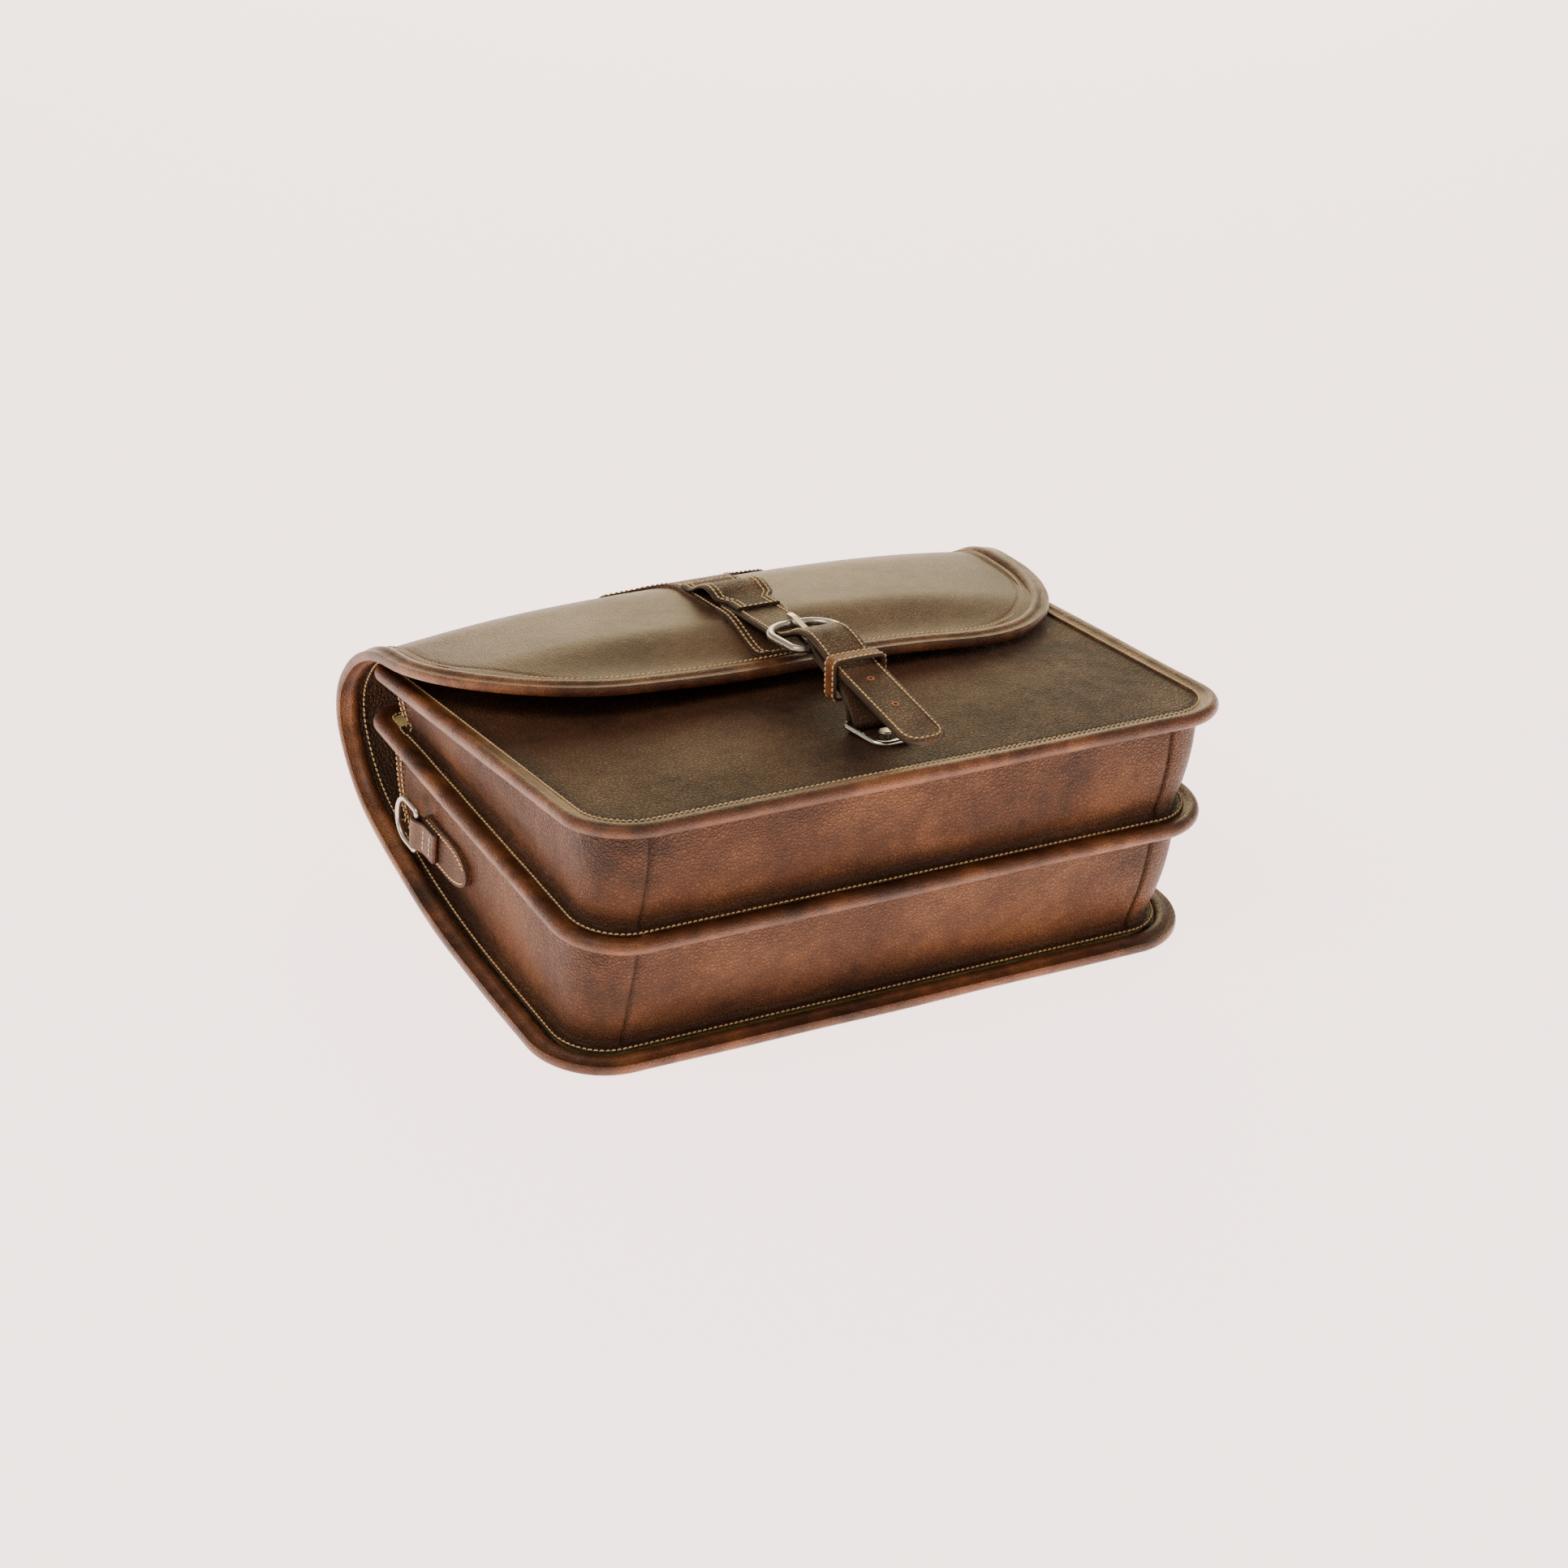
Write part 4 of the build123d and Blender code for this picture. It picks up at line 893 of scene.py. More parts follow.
def gusset_plan(mouth, step):
    """Plan of the wall from the left mouth round the bottom to the right: places, normals."""
    places, normals = [], []
    side_run = np.arange(mouth, CORNER, -step)
    for y in side_run:
        places.append((-half, y)), normals.append((-1, 0))
    for angle in np.linspace(pi, 3 * pi / 2, 26, endpoint=False):
        places.append((-half + CORNER + CORNER * cos(angle), CORNER + CORNER * sin(angle)))
        normals.append((cos(angle), sin(angle)))
    for x in np.arange(-half + CORNER, 0, step):
        places.append((x, 0)), normals.append((0, -1))
    places, normals = np.array(places), np.array(normals)
    mirror = np.array([-1, 1])
    places = np.vstack([places, [[0, 0]], (places * mirror)[::-1]])
    normals = np.vstack([normals, [[0, -1]], (normals * mirror)[::-1]])
    return places, normals


def back_place(x, y, n):
    """The back as the rear gusset's lower panel."""
    return wrap(x, y, -np.asarray(n, float))


def gusset(name, low, low_mouth, high, high_mouth, seed):
    places, normals = gusset_plan(low_mouth, 3 * MM)
    share = np.clip((places[:, 1] - CORNER) / (low_mouth - CORNER), 0, 1)
    high_y = np.where(places[:, 1] > CORNER, CORNER + share * (high_mouth - CORNER), places[:, 1])
    rows = smooth_rows(WALL_SAG, WALL_ROWS)
    gap = np.linalg.norm(high(places[:, 0], high_y, 0) - low(places[:, 0], places[:, 1], 0), axis=1)
    inset = np.repeat(rows[None, :, 0] * MM, len(places), 0)
    rise = rows[None, :, 1] * MM + rows[None, :, 2] * gap[:, None]
    t = np.clip(rise / gap[:, None], 0, 1)
    run = np.concatenate([[0], np.cumsum(np.linalg.norm(np.diff(places, axis=0), axis=1))])[:, None]
    free = smooth(t, 0.04, 0.3) * (1 - smooth(t, 0.85, 1.0))
    corner = np.exp(-(((np.abs(places[:, :1]) - (half - 12 * MM)) / (30 * MM)) ** 2)) * (
        places[:, 1:] < 2.2 * CORNER)
    inset = inset - free * (ripple(run, t * 0.08, 46 + seed, 1.2 * MM) + 1.2 * MM * corner)
    creases = np.exp(-(((t - 0.15) / 0.07) ** 2)) + 0.6 * np.exp(-(((t - 0.90) / 0.05) ** 2))
    fold = np.sin(t * 210 + 1.6 * np.sin(run * 37 + seed) + 0.9 * np.sin(run * 83 + t * 9))
    inset = inset + creases * (0.30 * MM * fold + ripple(run, t * 0.4, 330 + seed, 0.20 * MM))
    if name == "rear":
        level = low(places[:, 0], places[:, 1], 0)[:, None, 2] + rise
        near = np.exp(-(((places[:, 1:] + bottom - ring_at[1] + 30 * MM) / (34 * MM)) ** 2))
        inset = inset - 2.4 * MM * near * np.exp(-(((level - ring_at[2]) / (17 * MM)) ** 2))
    hem = smooth(run, 0, 1.5 * MM) * (1 - smooth(run, 10 * MM, 11.5 * MM))
    hem = np.maximum(hem, hem[::-1])
    inset = inset - hem * 1.0 * MM * smooth(t, 0.03, 0.1)
    px = places[:, :1] - normals[:, :1] * inset
    low_y, up_y = places[:, 1:] - normals[:, 1:] * inset, high_y[:, None] - normals[:, 1:] * inset
    base, cap = low(px, low_y, 0), high(px, up_y, 0)
    net = base + (cap - base) * t[..., None]
    inward = np.stack([-normals[:, 0], -normals[:, 1], 0 * normals[:, 0]], -1)[:, None] * 1.6 * MM
    away = [np.abs(places[:, 0] - side * SEAM_X) + (places[:, 1] > 1 * MM) for side in (-1, 1)]
    seams = [int(np.argmin(distance)) for distance in away]
    # Painted shade: the wall is darkened at its foot and just below the binding above it.
    dark = np.maximum(1 - smooth(t, 0.05, 0.30), smooth(t, 0.86, 0.97)) * (0.75 + 0.25 * np.sin(run * 30))
    for end, first, last in (
        ("left", 0, seams[0]), ("bottom", seams[0], seams[1]), ("right", seams[1], len(places) - 1)
    ):
        keep = slice(first, last + 1)
        part, shade = net[keep].copy(), dark[keep].copy()
        for k in (0, -1):
            if end == "bottom" or (end == "left") == (k == -1):
                part[k] += inward[first if k == 0 else last] * 0.9
                shade[k] = 1
        inner = part + inward[keep]
        made = sheet(f"{name}_wall_{end}", part, inner, [HIDE, INNER_HIDE], shade)
        nodes = [f"{name}_gusset_{end}"] + ([f"{name}_hem_{end}"] if end != "bottom" else [])
        fit(made, "case", *nodes)
    hem_rows = [int(np.argmin(np.abs(run[:, 0] - d * MM))) for d in (3, 8)]
    hem_rows += [len(places) - 1 - k for k in hem_rows]
    blocks = []
    for k in hem_rows:
        line = net[k, 11:-6]
        out = np.array([*normals[k], 0])
        blocks.append(stitch_points(line + out * 0.35 * MM, out))
    ledge = net[:, 3] + np.array([0, 0, 0.30 * MM])
    blocks.append(stitch_points(ledge, (0, 0, 1)))
    fit(thread(f"{name}_gusset_thread", blocks, THREAD_GOLD), "case")
    return net, places


ring_at = joint_at["ring_left_swing"]
rear_mouth = bend_s[0] - MOUTH_SET
gusset("rear", back_place, rear_mouth, divider.place, divider.length - MOUTH_SET, 0)
gusset("front", divider.place, divider.length - 2.2 * MOUTH_SET, front.place, front.length - MOUTH_SET, 9)

# %% [markdown]
# Straps are flat bands with rounded, painted edges. One maker sweeps a band's section along a
# line and can change its width on the way, so the same few lines give the strap, its base, the
# bridge, the chape, the keeper and the small tabs.

# %% Bands of leather
def band_section(width, thick, edge=0.9 * MM, dome=0.25 * MM):
    """Section of a band half as wide as width: top, rounded edges and underside."""
    shares = np.array([-1, -0.93, -0.6, -0.2, 0.2, 0.6, 0.93, 1])
    flat = width - edge
    top = [(c * flat, thick / 2 + dome * (1 - c * c)) for c in shares]
    side = [(width - 0.25 * edge, thick * 0.30), (width, 0.0), (width - 0.25 * edge, -thick * 0.30)]
    under = [(c * flat, -thick / 2) for c in shares[::-1]]
    other = [(-a, -b) for a, b in side]
    return np.array([*top, *side, *under, *other])


THREAD_RISE = 0.2 * MM
BAND_SLOTS = [0] * 7 + [1] * 4 + [2] * 7 + [1] * 4


def band(name, path, across, width, thick, top=None, under=None, closed=False, dome=0.25 * MM):
    """A band along a path; width is one half width, or one for each point."""
    path, across = np.asarray(path, float), np.asarray(across, float)
    across = np.broadcast_to(across, path.shape)
    up = unit(np.cross(across, tangents(path, closed)))
    widths = np.broadcast_to(width, len(path))
    section = np.stack([band_section(w, thick, min(0.9 * MM, w * 0.4), dome) for w in widths])
    materials = [top or STRAP_HIDE, EDGE, under or STRAP_HIDE]
    return sweep(name, path, across, up, section, materials, closed=closed, slots=BAND_SLOTS), up


def edge_rows(path, up, across, width, thick, inset=3.0 * MM, closed=False):
    """Stitch blocks along both edges of a band."""
    blocks, across = [], np.broadcast_to(np.asarray(across, float), np.shape(path))
    width = np.broadcast_to(width, len(path))[:, None]
    for side in (-1, 1):
        line = path + across * side * (width - inset) + up * (thick / 2 + THREAD_RISE)
        blocks.append(stitch_points(line, up, closed))
    return blocks


# %% [markdown]
# Everything on the closing strap is placed in the flap's own side view: how far it is in front of
# the start of the level flap, and how high above the flap's middle line. The hinge points of the
# strap, the buckle and the clip give the levels.

# %% The strap's side view
forward = np.array([0, *along(headings[3])])
flap_up = np.array([0, *outward(headings[3])])
level_y, level_z, _ = spine(level_s)
flap_start = np.array([0, float(level_y), float(level_z)])
X = np.array([1.0, 0, 0])


def beside(name):
    """Place along the flap and level above it of a hinge."""
    step = joint_at[name] - flap_start
    return float(step @ forward), float(step @ flap_up)


def strap_point(place, level, x=0.0):
    place, level = np.asarray(place, float)[..., None], np.asarray(level, float)[..., None]
    return flap_start + forward * place + flap_up * level + X * np.asarray(x)[..., None]


def curve(values, count):
    """Smooth line in the side view through chosen (place, level) pairs."""
    pairs = smooth_rows(values, count)
    return strap_point(pairs[:, 0], pairs[:, 1]), pairs


root_place = beside("strap_lift")[0]
bar_place, bar_level = beside("prong_pivot")
clip_place, clip_level = beside("clip_swing")
STRAP_HALF = 15 * MM
STRAP_THICK = 3.2 * MM
print("strap root", round(root_place, 4), "bar", round(bar_place, 4), "clip", round(clip_place, 4))

# %% [markdown]
# The strap's base is sewn to the flap and follows every swell of it, so its points are taken
# from the flap's own surface. It is a stem with a wide crossbar where it goes over the fold.

# %% Strap base
STEM_HALF, FLARE, CROSSBAR_HALF = 20.5 * MM, 26 * MM, 58 * MM
CROSSBAR_FRONT, CROSSBAR_BACK = -28 * MM, -60 * MM
BASE_FRONT = FLAP_REACH - 9 * MM
PATCH = 2.0 * MM


def base_half_width(place):
    """Half width of the base: a stem that flares into the crossbar and rounds off in front."""
    into = np.clip((place - (CROSSBAR_FRONT + FLARE)) / -FLARE, 0, 1)
    width = STEM_HALF + FLARE * (1 - np.sqrt(np.clip(1 - into**2, 0, 1)))
    bar = smooth(-place, -CROSSBAR_FRONT - 0.2 * MM, -CROSSBAR_FRONT + 1.5 * MM)
    width = width * (1 - bar) + CROSSBAR_HALF * bar
    corner = np.clip((place - (BASE_FRONT - 6 * MM)) / (6 * MM), 0, 1)
    back = np.clip((CROSSBAR_BACK + 5 * MM - place) / (5 * MM), 0, 1)
    return width - 6 * MM * (1 - np.sqrt(1 - corner**2)) - 5 * MM * (1 - np.sqrt(1 - back**2))


def on_flap(x, place, above):
    s = level_s + np.asarray(place, float)
    return wrap(x, s, outer_skin(np.asarray(x, float), s) + above)


places = np.concatenate([
    np.linspace(CROSSBAR_BACK, CROSSBAR_BACK + 5 * MM, 8),
    np.linspace(CROSSBAR_BACK + 7 * MM, CROSSBAR_FRONT, 12),
    CROSSBAR_FRONT + np.array([0.3, 0.7, 1.1, 1.5]) * MM, np.linspace(CROSSBAR_FRONT + 3 * MM, 0, 18),
    np.linspace(3 * MM, BASE_FRONT - 6 * MM, 30), np.linspace(BASE_FRONT - 5 * MM, BASE_FRONT, 9),
])
shares = np.concatenate([[-1, -0.985], np.linspace(-0.96, 0.96, 31), [0.985, 1]])
c, p = np.meshgrid(shares, places, indexing="ij")
width = base_half_width(p)
lip = PATCH * (1 - 0.45 * (np.abs(c) > 0.99))
x = c * width
made = sheet("strap_base_patch", on_flap(x, p, lip), on_flap(x, p, -0.3 * MM), [STRAP_HIDE])
fit(made, "flap_front", "strap_base")


blocks = []
row = np.arange(CROSSBAR_BACK + 3 * MM, BASE_FRONT - 3 * MM, 1.5 * MM)
for side in (-1, 1):
    line = on_flap(side * (base_half_width(row) - 3 * MM), row, PATCH + 0.15 * MM)
    blocks.append(stitch_points(line, flap_up))
rail_p = np.linspace(46 * MM, BASE_FRONT - 0.5 * MM, 60)
for side, end in ((-1, "left"), (1, "right")):
    rail = on_flap(side * (base_half_width(rail_p) - 3.1 * MM), rail_p, PATCH + 0.5 * MM)
    made, up = band(f"stem_rail_{end}", rail, -X, 2.9 * MM, 1.6 * MM)
    fit(made, "flap_front")
    blocks += edge_rows(rail, up, -X, 2.9 * MM, 1.6 * MM, 1.2 * MM)
across = np.linspace(-CROSSBAR_HALF + 4 * MM, CROSSBAR_HALF - 4 * MM, 60)
back_row = on_flap(across, CROSSBAR_BACK + 3 * MM, PATCH + 0.15 * MM)
blocks.append(stitch_points(back_row, unit(flap_up - forward)))
across = np.linspace(-STEM_HALF + 4 * MM, STEM_HALF - 4 * MM, 24)
front_row = on_flap(across, BASE_FRONT - 3 * MM, PATCH + 0.15 * MM)
blocks.append(stitch_points(front_row, flap_up))
fit(thread("strap_base_thread", blocks, THREAD_GOLD), "flap_front")

# %% [markdown]
# The bridge is a second layer on the stem. It lies flat at its rear, rises in an arch that the
# strap's end is anchored under, and its thick front bar hides the anchor.

# %% Bridge and anchor
base_top = SKIN + CROWN + PATCH
BRIDGE = 2.2 * MM
line, pairs = curve([(p * MM, base_top + h * MM) for p, h in (
    (2, 1.1), (6, 1.1), (10, 1.15), (16, 3.0), (24, 7.2), (31, 9.1), (38, 8.4), (45, 5.9), (52, 4.75),
    (58, 4.7), (64.8, 4.6),
)], 72)
widths = STEM_HALF - 0.3 * MM - 5.4 * MM * smooth(pairs[:, 0], 45 * MM, 54 * MM)
made, up = band("bridge_band", line, -X, widths, BRIDGE)
fit(made, "flap_front", "strap_bridge")
blocks = edge_rows(line, up, -X, widths, BRIDGE, 3.0 * MM) + edge_rows(line, up, -X, widths, BRIDGE, 6.4 * MM)
for row in (2, 70):
    across = np.linspace(-1, 1, 24) * (widths[row] - 4 * MM)
    cross_row = line[row] + up[row] * (BRIDGE / 2 + 0.2 * MM) + X * across[:, None]
    blocks.append(stitch_points(cross_row, up[row]))
fit(thread("bridge_thread", blocks, THREAD_GOLD), "flap_front")

line, _ = curve([(p * MM, base_top + STRAP_THICK / 2 + 0.02 * MM) for p in (43, 50, 58, 65)], 12)
made, up = band("anchor_band", line, -X, STRAP_HALF, STRAP_THICK)
fit(made, "flap_front", "strap_anchor")

# %% [markdown]
# The strap comes out from under the bridge, passes over the buckle and hangs past the flap's
# edge. Its end is rounded, its edges are painted dark, and two holes show their raw tan rims.

# %% The strap
TIP = 12 * MM
line, pairs = curve([(root_place + 0.3 * MM, 18.0 * MM)] + [(bar_place + p * MM, h * MM) for p, h in (
    (-50, 17.9), (-36, 18.6), (-24, 23.0), (-12, 28.6), (0, 30.5), (12, 28.0), (25, 23.2), (39, 18.9),
    (58, 14.6), (77, 10.4), (96, 6.2), (110, 3.2), (116.2, 2.0),
)], 260)
to_end = pairs[-1, 0] - pairs[:, 0]
turned = np.clip((TIP - to_end) / TIP, 0, 1)
widths = STRAP_HALF - TIP * (1 - np.sqrt(1 - turned**2))
made, up = band("billet_band", line, -X, widths, STRAP_THICK)
fit(made, "closure_strap", "strap_billet")
inset = 3 * MM
body = to_end > inset
turned = np.clip((TIP - to_end[body]) / (TIP - inset), 0, 1)
offset = (STRAP_HALF - inset - (TIP - inset) * (1 - np.sqrt(1 - turned**2)))[:, None]
raised = line[body] + up[body] * (STRAP_THICK / 2 + 0.2 * MM)
round_tip = np.concatenate([raised + X * offset, (raised - X * offset)[::-1]])
blocks = [stitch_points(round_tip, np.concatenate([up[body], up[body][::-1]]))]
fit(thread("billet_thread", blocks, THREAD_GOLD), "closure_strap")


def at_place(place):
    """Point, direction and up of the strap at a place in front of the buckle's bar."""
    k = int(np.argmin(np.abs(pairs[:, 0] - bar_place - place)))
    return line[k], unit(line[k + 1] - line[k - 1]), up[k]


def stadium(centre, go, side, length, width, count=28):
    """Outline of a slot: a circle pulled out by length."""
    angles = np.linspace(0, 2 * pi, count, endpoint=False)
    ahead, sideways = np.cos(angles) * width + np.sign(np.cos(angles)) * length, np.sin(angles) * width
    return centre + go * ahead[:, None] + side * sideways[:, None]


def hole(name, place, length, radius, rim):
    """A near-black plug, painted shade inside a hole, with a rim, for both faces of the strap."""
    centre, go, high = at_place(place)
    made = []
    for face in (1, -1):
        top = centre + high * face * (STRAP_THICK / 2 + (0.31 if face > 0 else 0.04) * MM)
        ring = stadium(top, go, X, length, radius)
        under = ring - high * face * 0.5 * MM
        points = np.vstack([ring, under])
        count = len(ring)
        faces = net_faces(2, count, wrap_columns=True) + [list(range(count)), list(range(count, 2 * count))]
        made.append(make(name, points, faces, [HOLE_SHADE]))
        side = unit(ring - top)
        angles = np.arange(8) * pi / 4
        section = np.stack([np.cos(angles) * 0.55 * MM, np.sin(angles) * 0.28 * MM], -1)
        tube = sweep(name, ring, side, high * face, section, [rim], closed=True)
        made.append(tube)
    fit(joined(name, made), "closure_strap")


for name, place, length, radius, rim in (
    ("prong_slot_rim", -24 * MM, 8 * MM, 3.0 * MM, EDGE),
    ("punched_hole_upper", 50 * MM, 0, 1.7 * MM, PUNCHED),
    ("punched_hole_lower", 78 * MM, 0, 1.7 * MM, PUNCHED),
):
    hole(name, place, length, radius, rim)

# %% [markdown]
# The chape is the short doubled strap that holds the buckle at one end and the clip at the other.
# The keeper is a stiff loop round both straps, stitched along its two edges.

# %% Chape and keeper
def loop_path(centre_line, radii, gap, count=90):
    """Closed (place, level) path: out along one face of a centre line and back along the other."""
    middle = smooth_rows(centre_line, count)
    go = unit(np.gradient(middle, axis=0))
    left = np.stack([-go[:, 1], go[:, 0]], -1)
    share = np.concatenate([[0], np.cumsum(np.linalg.norm(np.diff(middle, axis=0), axis=1))])
    wide = gap + (radii[0] - gap) * np.exp(-((share / (5.0 * MM)) ** 2))
    wide += (radii[1] - gap) * np.exp(-(((share[-1] - share) / (6.5 * MM)) ** 2))
    caps = []
    for k, radius, begin in ((-1, radii[1], pi / 2), (0, radii[0], -pi / 2)):
        angles = begin - np.linspace(0, pi, 14)[1:-1]
        around = go[k] * np.cos(angles)[:, None] + left[k] * np.sin(angles)[:, None]
        caps.append(middle[k] + radius * around)
    out, back = middle + left * wide[:, None], (middle - left * wide[:, None])[::-1]
    return np.vstack([out, caps[0], back, caps[1]])


CHAPE_HALF, CHAPE = 13 * MM, 2.0 * MM
centre_line = np.array([
    (bar_place, bar_level), *((bar_place + p * MM, h * MM) for p, h in (
        (9, 19.2), (21.6, 14.1), (31, 11.0), (39.4, 7.0), (46, 0.6),
    )), (clip_place, clip_level),
])
loop = loop_path(centre_line, (3.9 * MM, 3.4 * MM), 1.05 * MM)
line_of_chape = strap_point(loop[:, 0], loop[:, 1])
made, up = band("chape_band", line_of_chape, -X, CHAPE_HALF, CHAPE, closed=True, dome=0.1 * MM)
fit(made, "closure_strap", "strap_chape")

KEEPER_WIDE, KEEPER_LOW, KEEPER_HIGH, KEEPER_THICK = 15.4 * MM, 4.5 * MM, 24.94 * MM, 2.0 * MM
corner = 2.6 * MM
ring = []
half_high, mid_high = (KEEPER_HIGH - KEEPER_LOW) / 2 + 1 * MM, (KEEPER_HIGH + KEEPER_LOW) / 2
wide = KEEPER_WIDE + 1 * MM
for cx, cz, begin in ((1, 1, 0), (-1, 1, pi / 2), (-1, -1, pi), (1, -1, 3 * pi / 2)):
    for angle in begin + np.linspace(0, pi / 2, 7):
        x, z = cx * (wide - corner), cz * (half_high - corner)
        ring.append((x + corner * cos(angle), z + corner * sin(angle)))
ring = np.array(ring)
filled = []
for a, b in zip(ring, np.roll(ring, -1, 0)):
    steps = max(1, int(np.linalg.norm(b - a) / (1.5 * MM)))
    filled += [a + (b - a) * t for t in np.linspace(0, 1, steps, endpoint=False)]
filled = np.array(filled)
keeper_line = strap_point(bar_place + 33 * MM, mid_high) + X * filled[:, :1] + flap_up * filled[:, 1:]
swell = 0.5 * MM * (filled[:, 1:] > 0) * (1 - (filled[:, :1] / wide) ** 2)
keeper_line = keeper_line + flap_up * swell
made, up = band(
    "keeper_band", keeper_line, -forward, 6 * MM, KEEPER_THICK, KEEPER_HIDE, KEEPER_HIDE, closed=True
)
fit(made, "closure_strap", "strap_keeper")
blocks = edge_rows(keeper_line, up, forward, 6 * MM, KEEPER_THICK, 1.8 * MM, closed=True)
fit(thread("keeper_thread", blocks, THREAD_GOLD), "closure_strap")

# %% [markdown]
# A leaf of leather is sewn to each end of the rear gusset. A tab folded round the bar of the ring
# is sewn on top of it.

# %% Shoulder rings
TAB_HALF, TAB = 10 * MM, 2.0 * MM
leaf_x = half - ROLL - 1.25 * MM


def leaf_half(y, low, high, width):
    """Half width of the leaf: a long round end towards the bottom, small corners at the top."""
    a = np.clip(1 - (y - low) / (26 * MM), 0, 1)
    b = np.clip((y - (high - 4 * MM)) / (4 * MM), 0, 1)
    return width * np.sqrt(1 - a**2) - 4 * MM * (1 - np.sqrt(1 - b**2))


for side, end in ((-1, "left"), (1, "right")):
    ring_x, ring_y, ring_z = joint_at[f"ring_{end}_swing"]
    low_y, high_y = ring_y - 62 * MM, ring_y - 2 * MM
    y = np.concatenate([low_y + 26 * MM * (1 - np.cos(np.linspace(0.03, pi / 2, 18))),
                        np.linspace(low_y + 28 * MM, high_y - 4 * MM, 14),
                        high_y - 3 * MM + np.linspace(0, 3, 7) * MM])
    shares = np.concatenate([[-1, -0.97], np.linspace(-0.9, 0.9, 15), [0.97, 1]])
    c, yy = np.meshgrid(shares, y, indexing="ij")
    z = ring_z + c * leaf_half(yy, low_y, high_y, 13 * MM)
    out = side * (leaf_x + PATCH - 0.5 * MM * (np.abs(c) > 0.99))
    inner = side * (leaf_x - 1.8 * MM) + 0 * c
    made = sheet(f"ring_leaf_{end}", np.stack([out, yy, z], -1), np.stack([inner, yy, z], -1), [STRAP_HIDE])
    fit(made, "case", f"ring_patch_{end}")
    round_leaf = []
    for edge_side in (1, -1):
        row = y[(y > low_y + 3 * MM) & (y < high_y - 2 * MM)]
        width = leaf_half(row, low_y, high_y, 13 * MM) - 2.8 * MM
        row_z = ring_z + edge_side * np.clip(width, 0, None)
        line = np.stack([np.full(len(row), side * (leaf_x + PATCH + 0.15 * MM)), row, row_z], -1)
        round_leaf.append(stitch_points(line, X * side))

    centre_line = np.array([
        (ring_y - 22 * MM, leaf_x + PATCH + 2.1 * MM), (ring_y - 15 * MM, leaf_x + PATCH + 2.1 * MM),
        (ring_y - 8 * MM, leaf_x + PATCH + 2.4 * MM), (ring_y, abs(ring_x)),
    ])
    loop = loop_path(centre_line, (1.0 * MM, 3.05 * MM), 1.05 * MM, 50)
    path = np.stack([side * loop[:, 1], loop[:, 0], np.full(len(loop), ring_z)], -1)
    made, up = band(
        f"ring_tab_band_{end}", path, (0, 0, 1), TAB_HALF, TAB, ROLL_HIDE, ROLL_HIDE, closed=True,
        dome=0.1 * MM,
    )
    fit(made, "case", f"ring_tab_{end}")
    for y_row in (-19.5, -10.5):
        z_row = np.linspace(-7, 7, 12) * MM + ring_z
        x_row = side * (leaf_x + PATCH + 4.35 * MM)
        line = np.stack([np.full(12, x_row), np.full(12, ring_y + y_row * MM), z_row], -1)
        round_leaf.append(stitch_points(line, X * side))
    fit(thread(f"ring_thread_{end}", round_leaf, THREAD_GOLD), "case")

# %% [markdown]
# The carrying handle hangs behind the fold. Its base is a patch sewn over the crest of the fold,
# and its grip is a round roll of leather with a low ridge along one side.

# %% Handle
crest_s = starts[3] + (pi / 2 - headings[1]) / (headings[2] - headings[1]) * stretches[3][0]
HANDLE_BASE, BASE_REACH = 58 * MM, 13.8 * MM
u, v = np.meshgrid(np.linspace(-1, 1, 61), np.linspace(-1, 1, 17), indexing="ij")
a = np.clip((np.abs(u) * HANDLE_BASE - HANDLE_BASE + 6 * MM) / (6 * MM), 0, 1)
reach_here = BASE_REACH - 6 * MM * (1 - np.sqrt(1 - a**2))
x, s = u * HANDLE_BASE, crest_s + v * reach_here
lip = 2 * MM - 0.5 * MM * ((np.abs(u) > 0.99) | (np.abs(v) > 0.99))
made = sheet("handle_patch", wrap(x, s, SKIN + lip), wrap(x, s, SKIN - 0.5 * MM + 0 * x), [STRAP_HIDE])
fit(made, "flap_upper", "handle_base")


def base_stitches(across, s_row):
    """Stitches on the handle's patch, which lies on the fold."""
    line = wrap(across, s_row, 2 * SKIN + 0.15 * MM)
    return stitch_points(line, unit(wrap(across, s_row, 5 * MM) - line))


blocks = []
for v_row in (-1, 1):
    across = np.linspace(-HANDLE_BASE + 5 * MM, HANDLE_BASE - 5 * MM, 60)
    s_row = np.full(60, crest_s + v_row * (BASE_REACH - 3 * MM))
    blocks.append(base_stitches(across, s_row))
for u_row in (-1, 1):
    s_row = np.linspace(-BASE_REACH + 4 * MM, BASE_REACH - 4 * MM, 14) + crest_s
    across = np.full(14, u_row * (HANDLE_BASE - 3 * MM))
    blocks.append(base_stitches(across, s_row))
fit(thread("handle_base_thread", blocks, THREAD_GOLD), "flap_upper")

pin = joint_at["handle_swing"]
hang = np.array([0, cos(radians(-40)), sin(radians(-40))])
SPAN, REACH, BEND, GRIP = 48 * MM, 36 * MM, 20 * MM, 6.5 * MM
path = [(-SPAN, d) for d in np.linspace(-4 * MM, REACH - BEND, 10)]
path += [(-SPAN + BEND - BEND * cos(t), REACH - BEND + BEND * sin(t)) for t in np.linspace(0, pi / 2, 16)[1:]]
path += [(x, REACH) for x in np.linspace(-SPAN + BEND, SPAN - BEND, 16)[1:]]
path += [(SPAN - BEND + BEND * sin(t), REACH - BEND + BEND * cos(t)) for t in np.linspace(0, pi / 2, 16)[1:]]
path += [(SPAN, d) for d in np.linspace(REACH - BEND, -4 * MM, 10)[1:]]
path = np.array(path)
grip_line = pin + X * path[:, :1] + hang * path[:, 1:]
over = np.cross(hang, X)
go = tangents(grip_line)
side = unit(np.cross(go, over))
angles = np.linspace(0, 2 * pi, 28, endpoint=False)
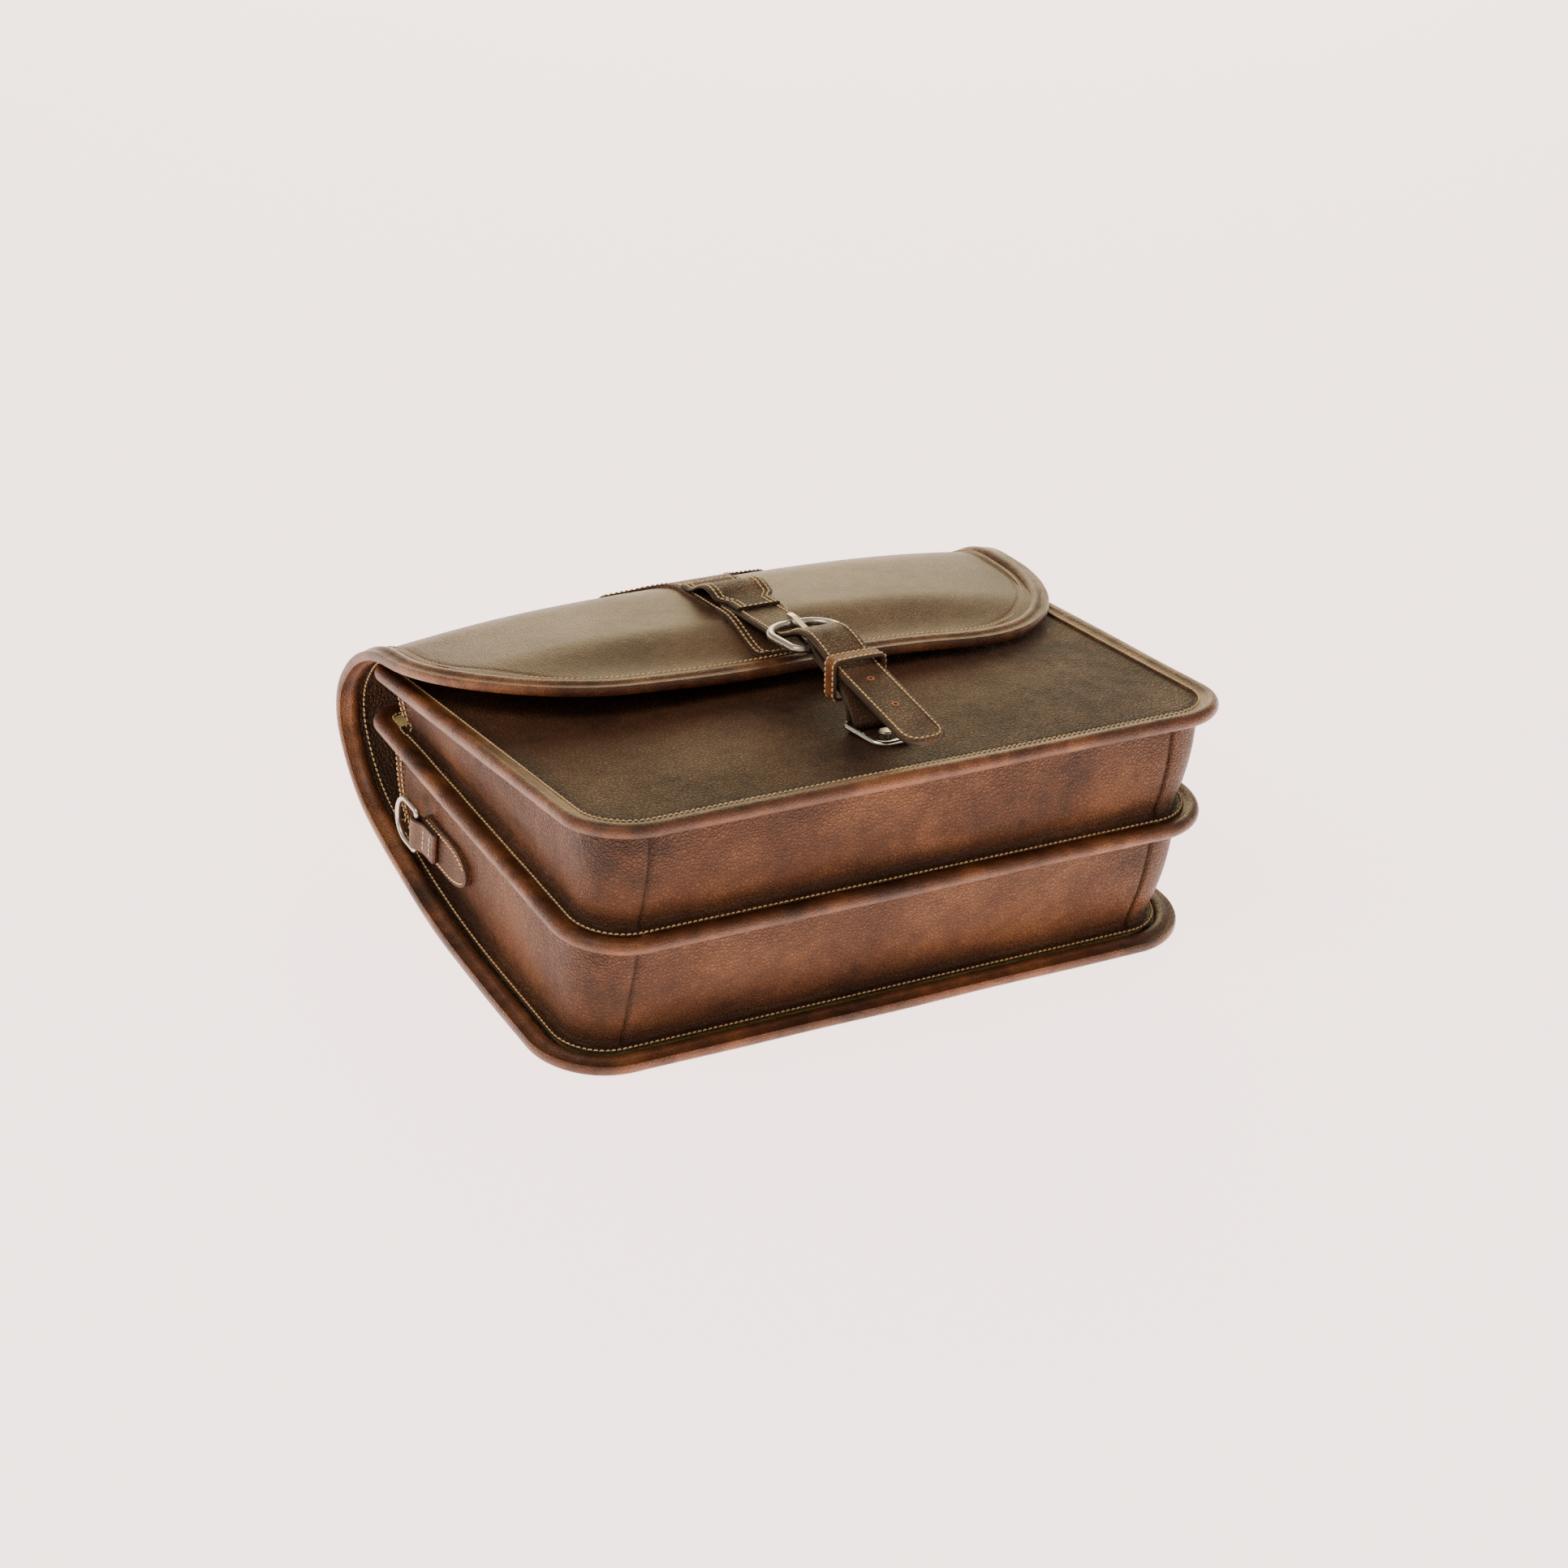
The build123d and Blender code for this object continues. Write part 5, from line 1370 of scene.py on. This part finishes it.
ridge = 1 + 0.10 * np.exp(-(((angles - pi / 2) / 0.16) ** 2))
section = np.stack([np.cos(angles) * ridge, np.sin(angles) * ridge], -1) * GRIP
made = sweep("grip_roll", grip_line, side, over, section, [STRAP_HIDE])
fit(made, "handle", "handle_grip")
seam_line = grip_line + over * 6.6 * MM + side * 2.6 * MM
fit(thread("grip_thread", [stitch_points(seam_line[6:-6], over)], THREAD_GOLD), "handle")

# %% [markdown]
# The scene is a plain pale floor under soft light. A broad warm light low behind the bag skims
# the swollen flap and draws its long olive sheen. The others only open up the shadows in front.

# %% Floor, light and camera
floor_mesh = bpy.data.meshes.new("floor")
floor_mesh.from_pydata([(-9, -9, 0), (9, -9, 0), (9, 9, 0), (-9, 9, 0)], [], [(0, 1, 2, 3)])
floor = bpy.data.objects.new("floor", floor_mesh)
bpy.context.scene.collection.objects.link(floor)
FLOOR = bpy.data.materials.new("pale_floor")
FLOOR.use_nodes = True
surface = FLOOR.node_tree.nodes["Principled BSDF"]
surface.inputs["Base Color"].default_value = (0.80, 0.745, 0.725, 1)
surface.inputs["Roughness"].default_value = 0.95
surface.inputs["Specular IOR Level"].default_value = 0.1
surface.inputs["Emission Color"].default_value = (0.97, 0.76, 0.71, 1)
surface.inputs["Emission Strength"].default_value = 3.4
floor_mesh.materials.append(FLOOR)

world = bpy.data.worlds.new("studio")
world.use_nodes = True
bpy.context.scene.world = world
backdrop = world.node_tree.nodes["Background"]
backdrop.inputs["Color"].default_value = (0.86, 0.81, 0.79, 1)
backdrop.inputs["Strength"].default_value = 0.55


def soft_light(name, place, size, power, colour, aim=(0, 0, 0.08)):
    """A square area light turned towards the bag."""
    data = bpy.data.lights.new(name, "AREA")
    data.size, data.energy, data.color = size, power, colour
    lamp = bpy.data.objects.new(name, data)
    lamp.location = place
    lamp.rotation_euler = (Vector(aim) - Vector(place)).to_track_quat("-Z", "Y").to_euler()
    bpy.context.scene.collection.objects.link(lamp)


soft_light("sheen", (1.25, 2.35, 0.95), 1.6, 40, (1.0, 0.85, 0.48))
soft_light("key", (-1.4, -0.3, 2.2), 1.2, 30, (1.0, 0.95, 0.90))
soft_light("fill", (0.9, -1.9, 1.3), 1.4, 6, (1.0, 0.95, 0.92))

yaw, pitch, roll = radians(31.70), radians(29.47), radians(5.57)
look = Vector((sin(yaw) * cos(pitch), cos(yaw) * cos(pitch), -sin(pitch)))
right = Vector((cos(yaw), -sin(yaw), 0))
level = right.cross(look)
right, level = right * cos(roll) + level * sin(roll), level * cos(roll) - right * sin(roll)
camera = bpy.data.objects.new("camera", bpy.data.cameras.new("camera"))
camera.data.lens, camera.data.sensor_width = 81.84, 36
rotation = Matrix((right, level, -look)).transposed().to_4x4()
camera.matrix_world = Matrix.Translation((-0.987, -1.551, 1.1345)) @ rotation
bpy.context.scene.collection.objects.link(camera)
bpy.context.scene.camera = camera
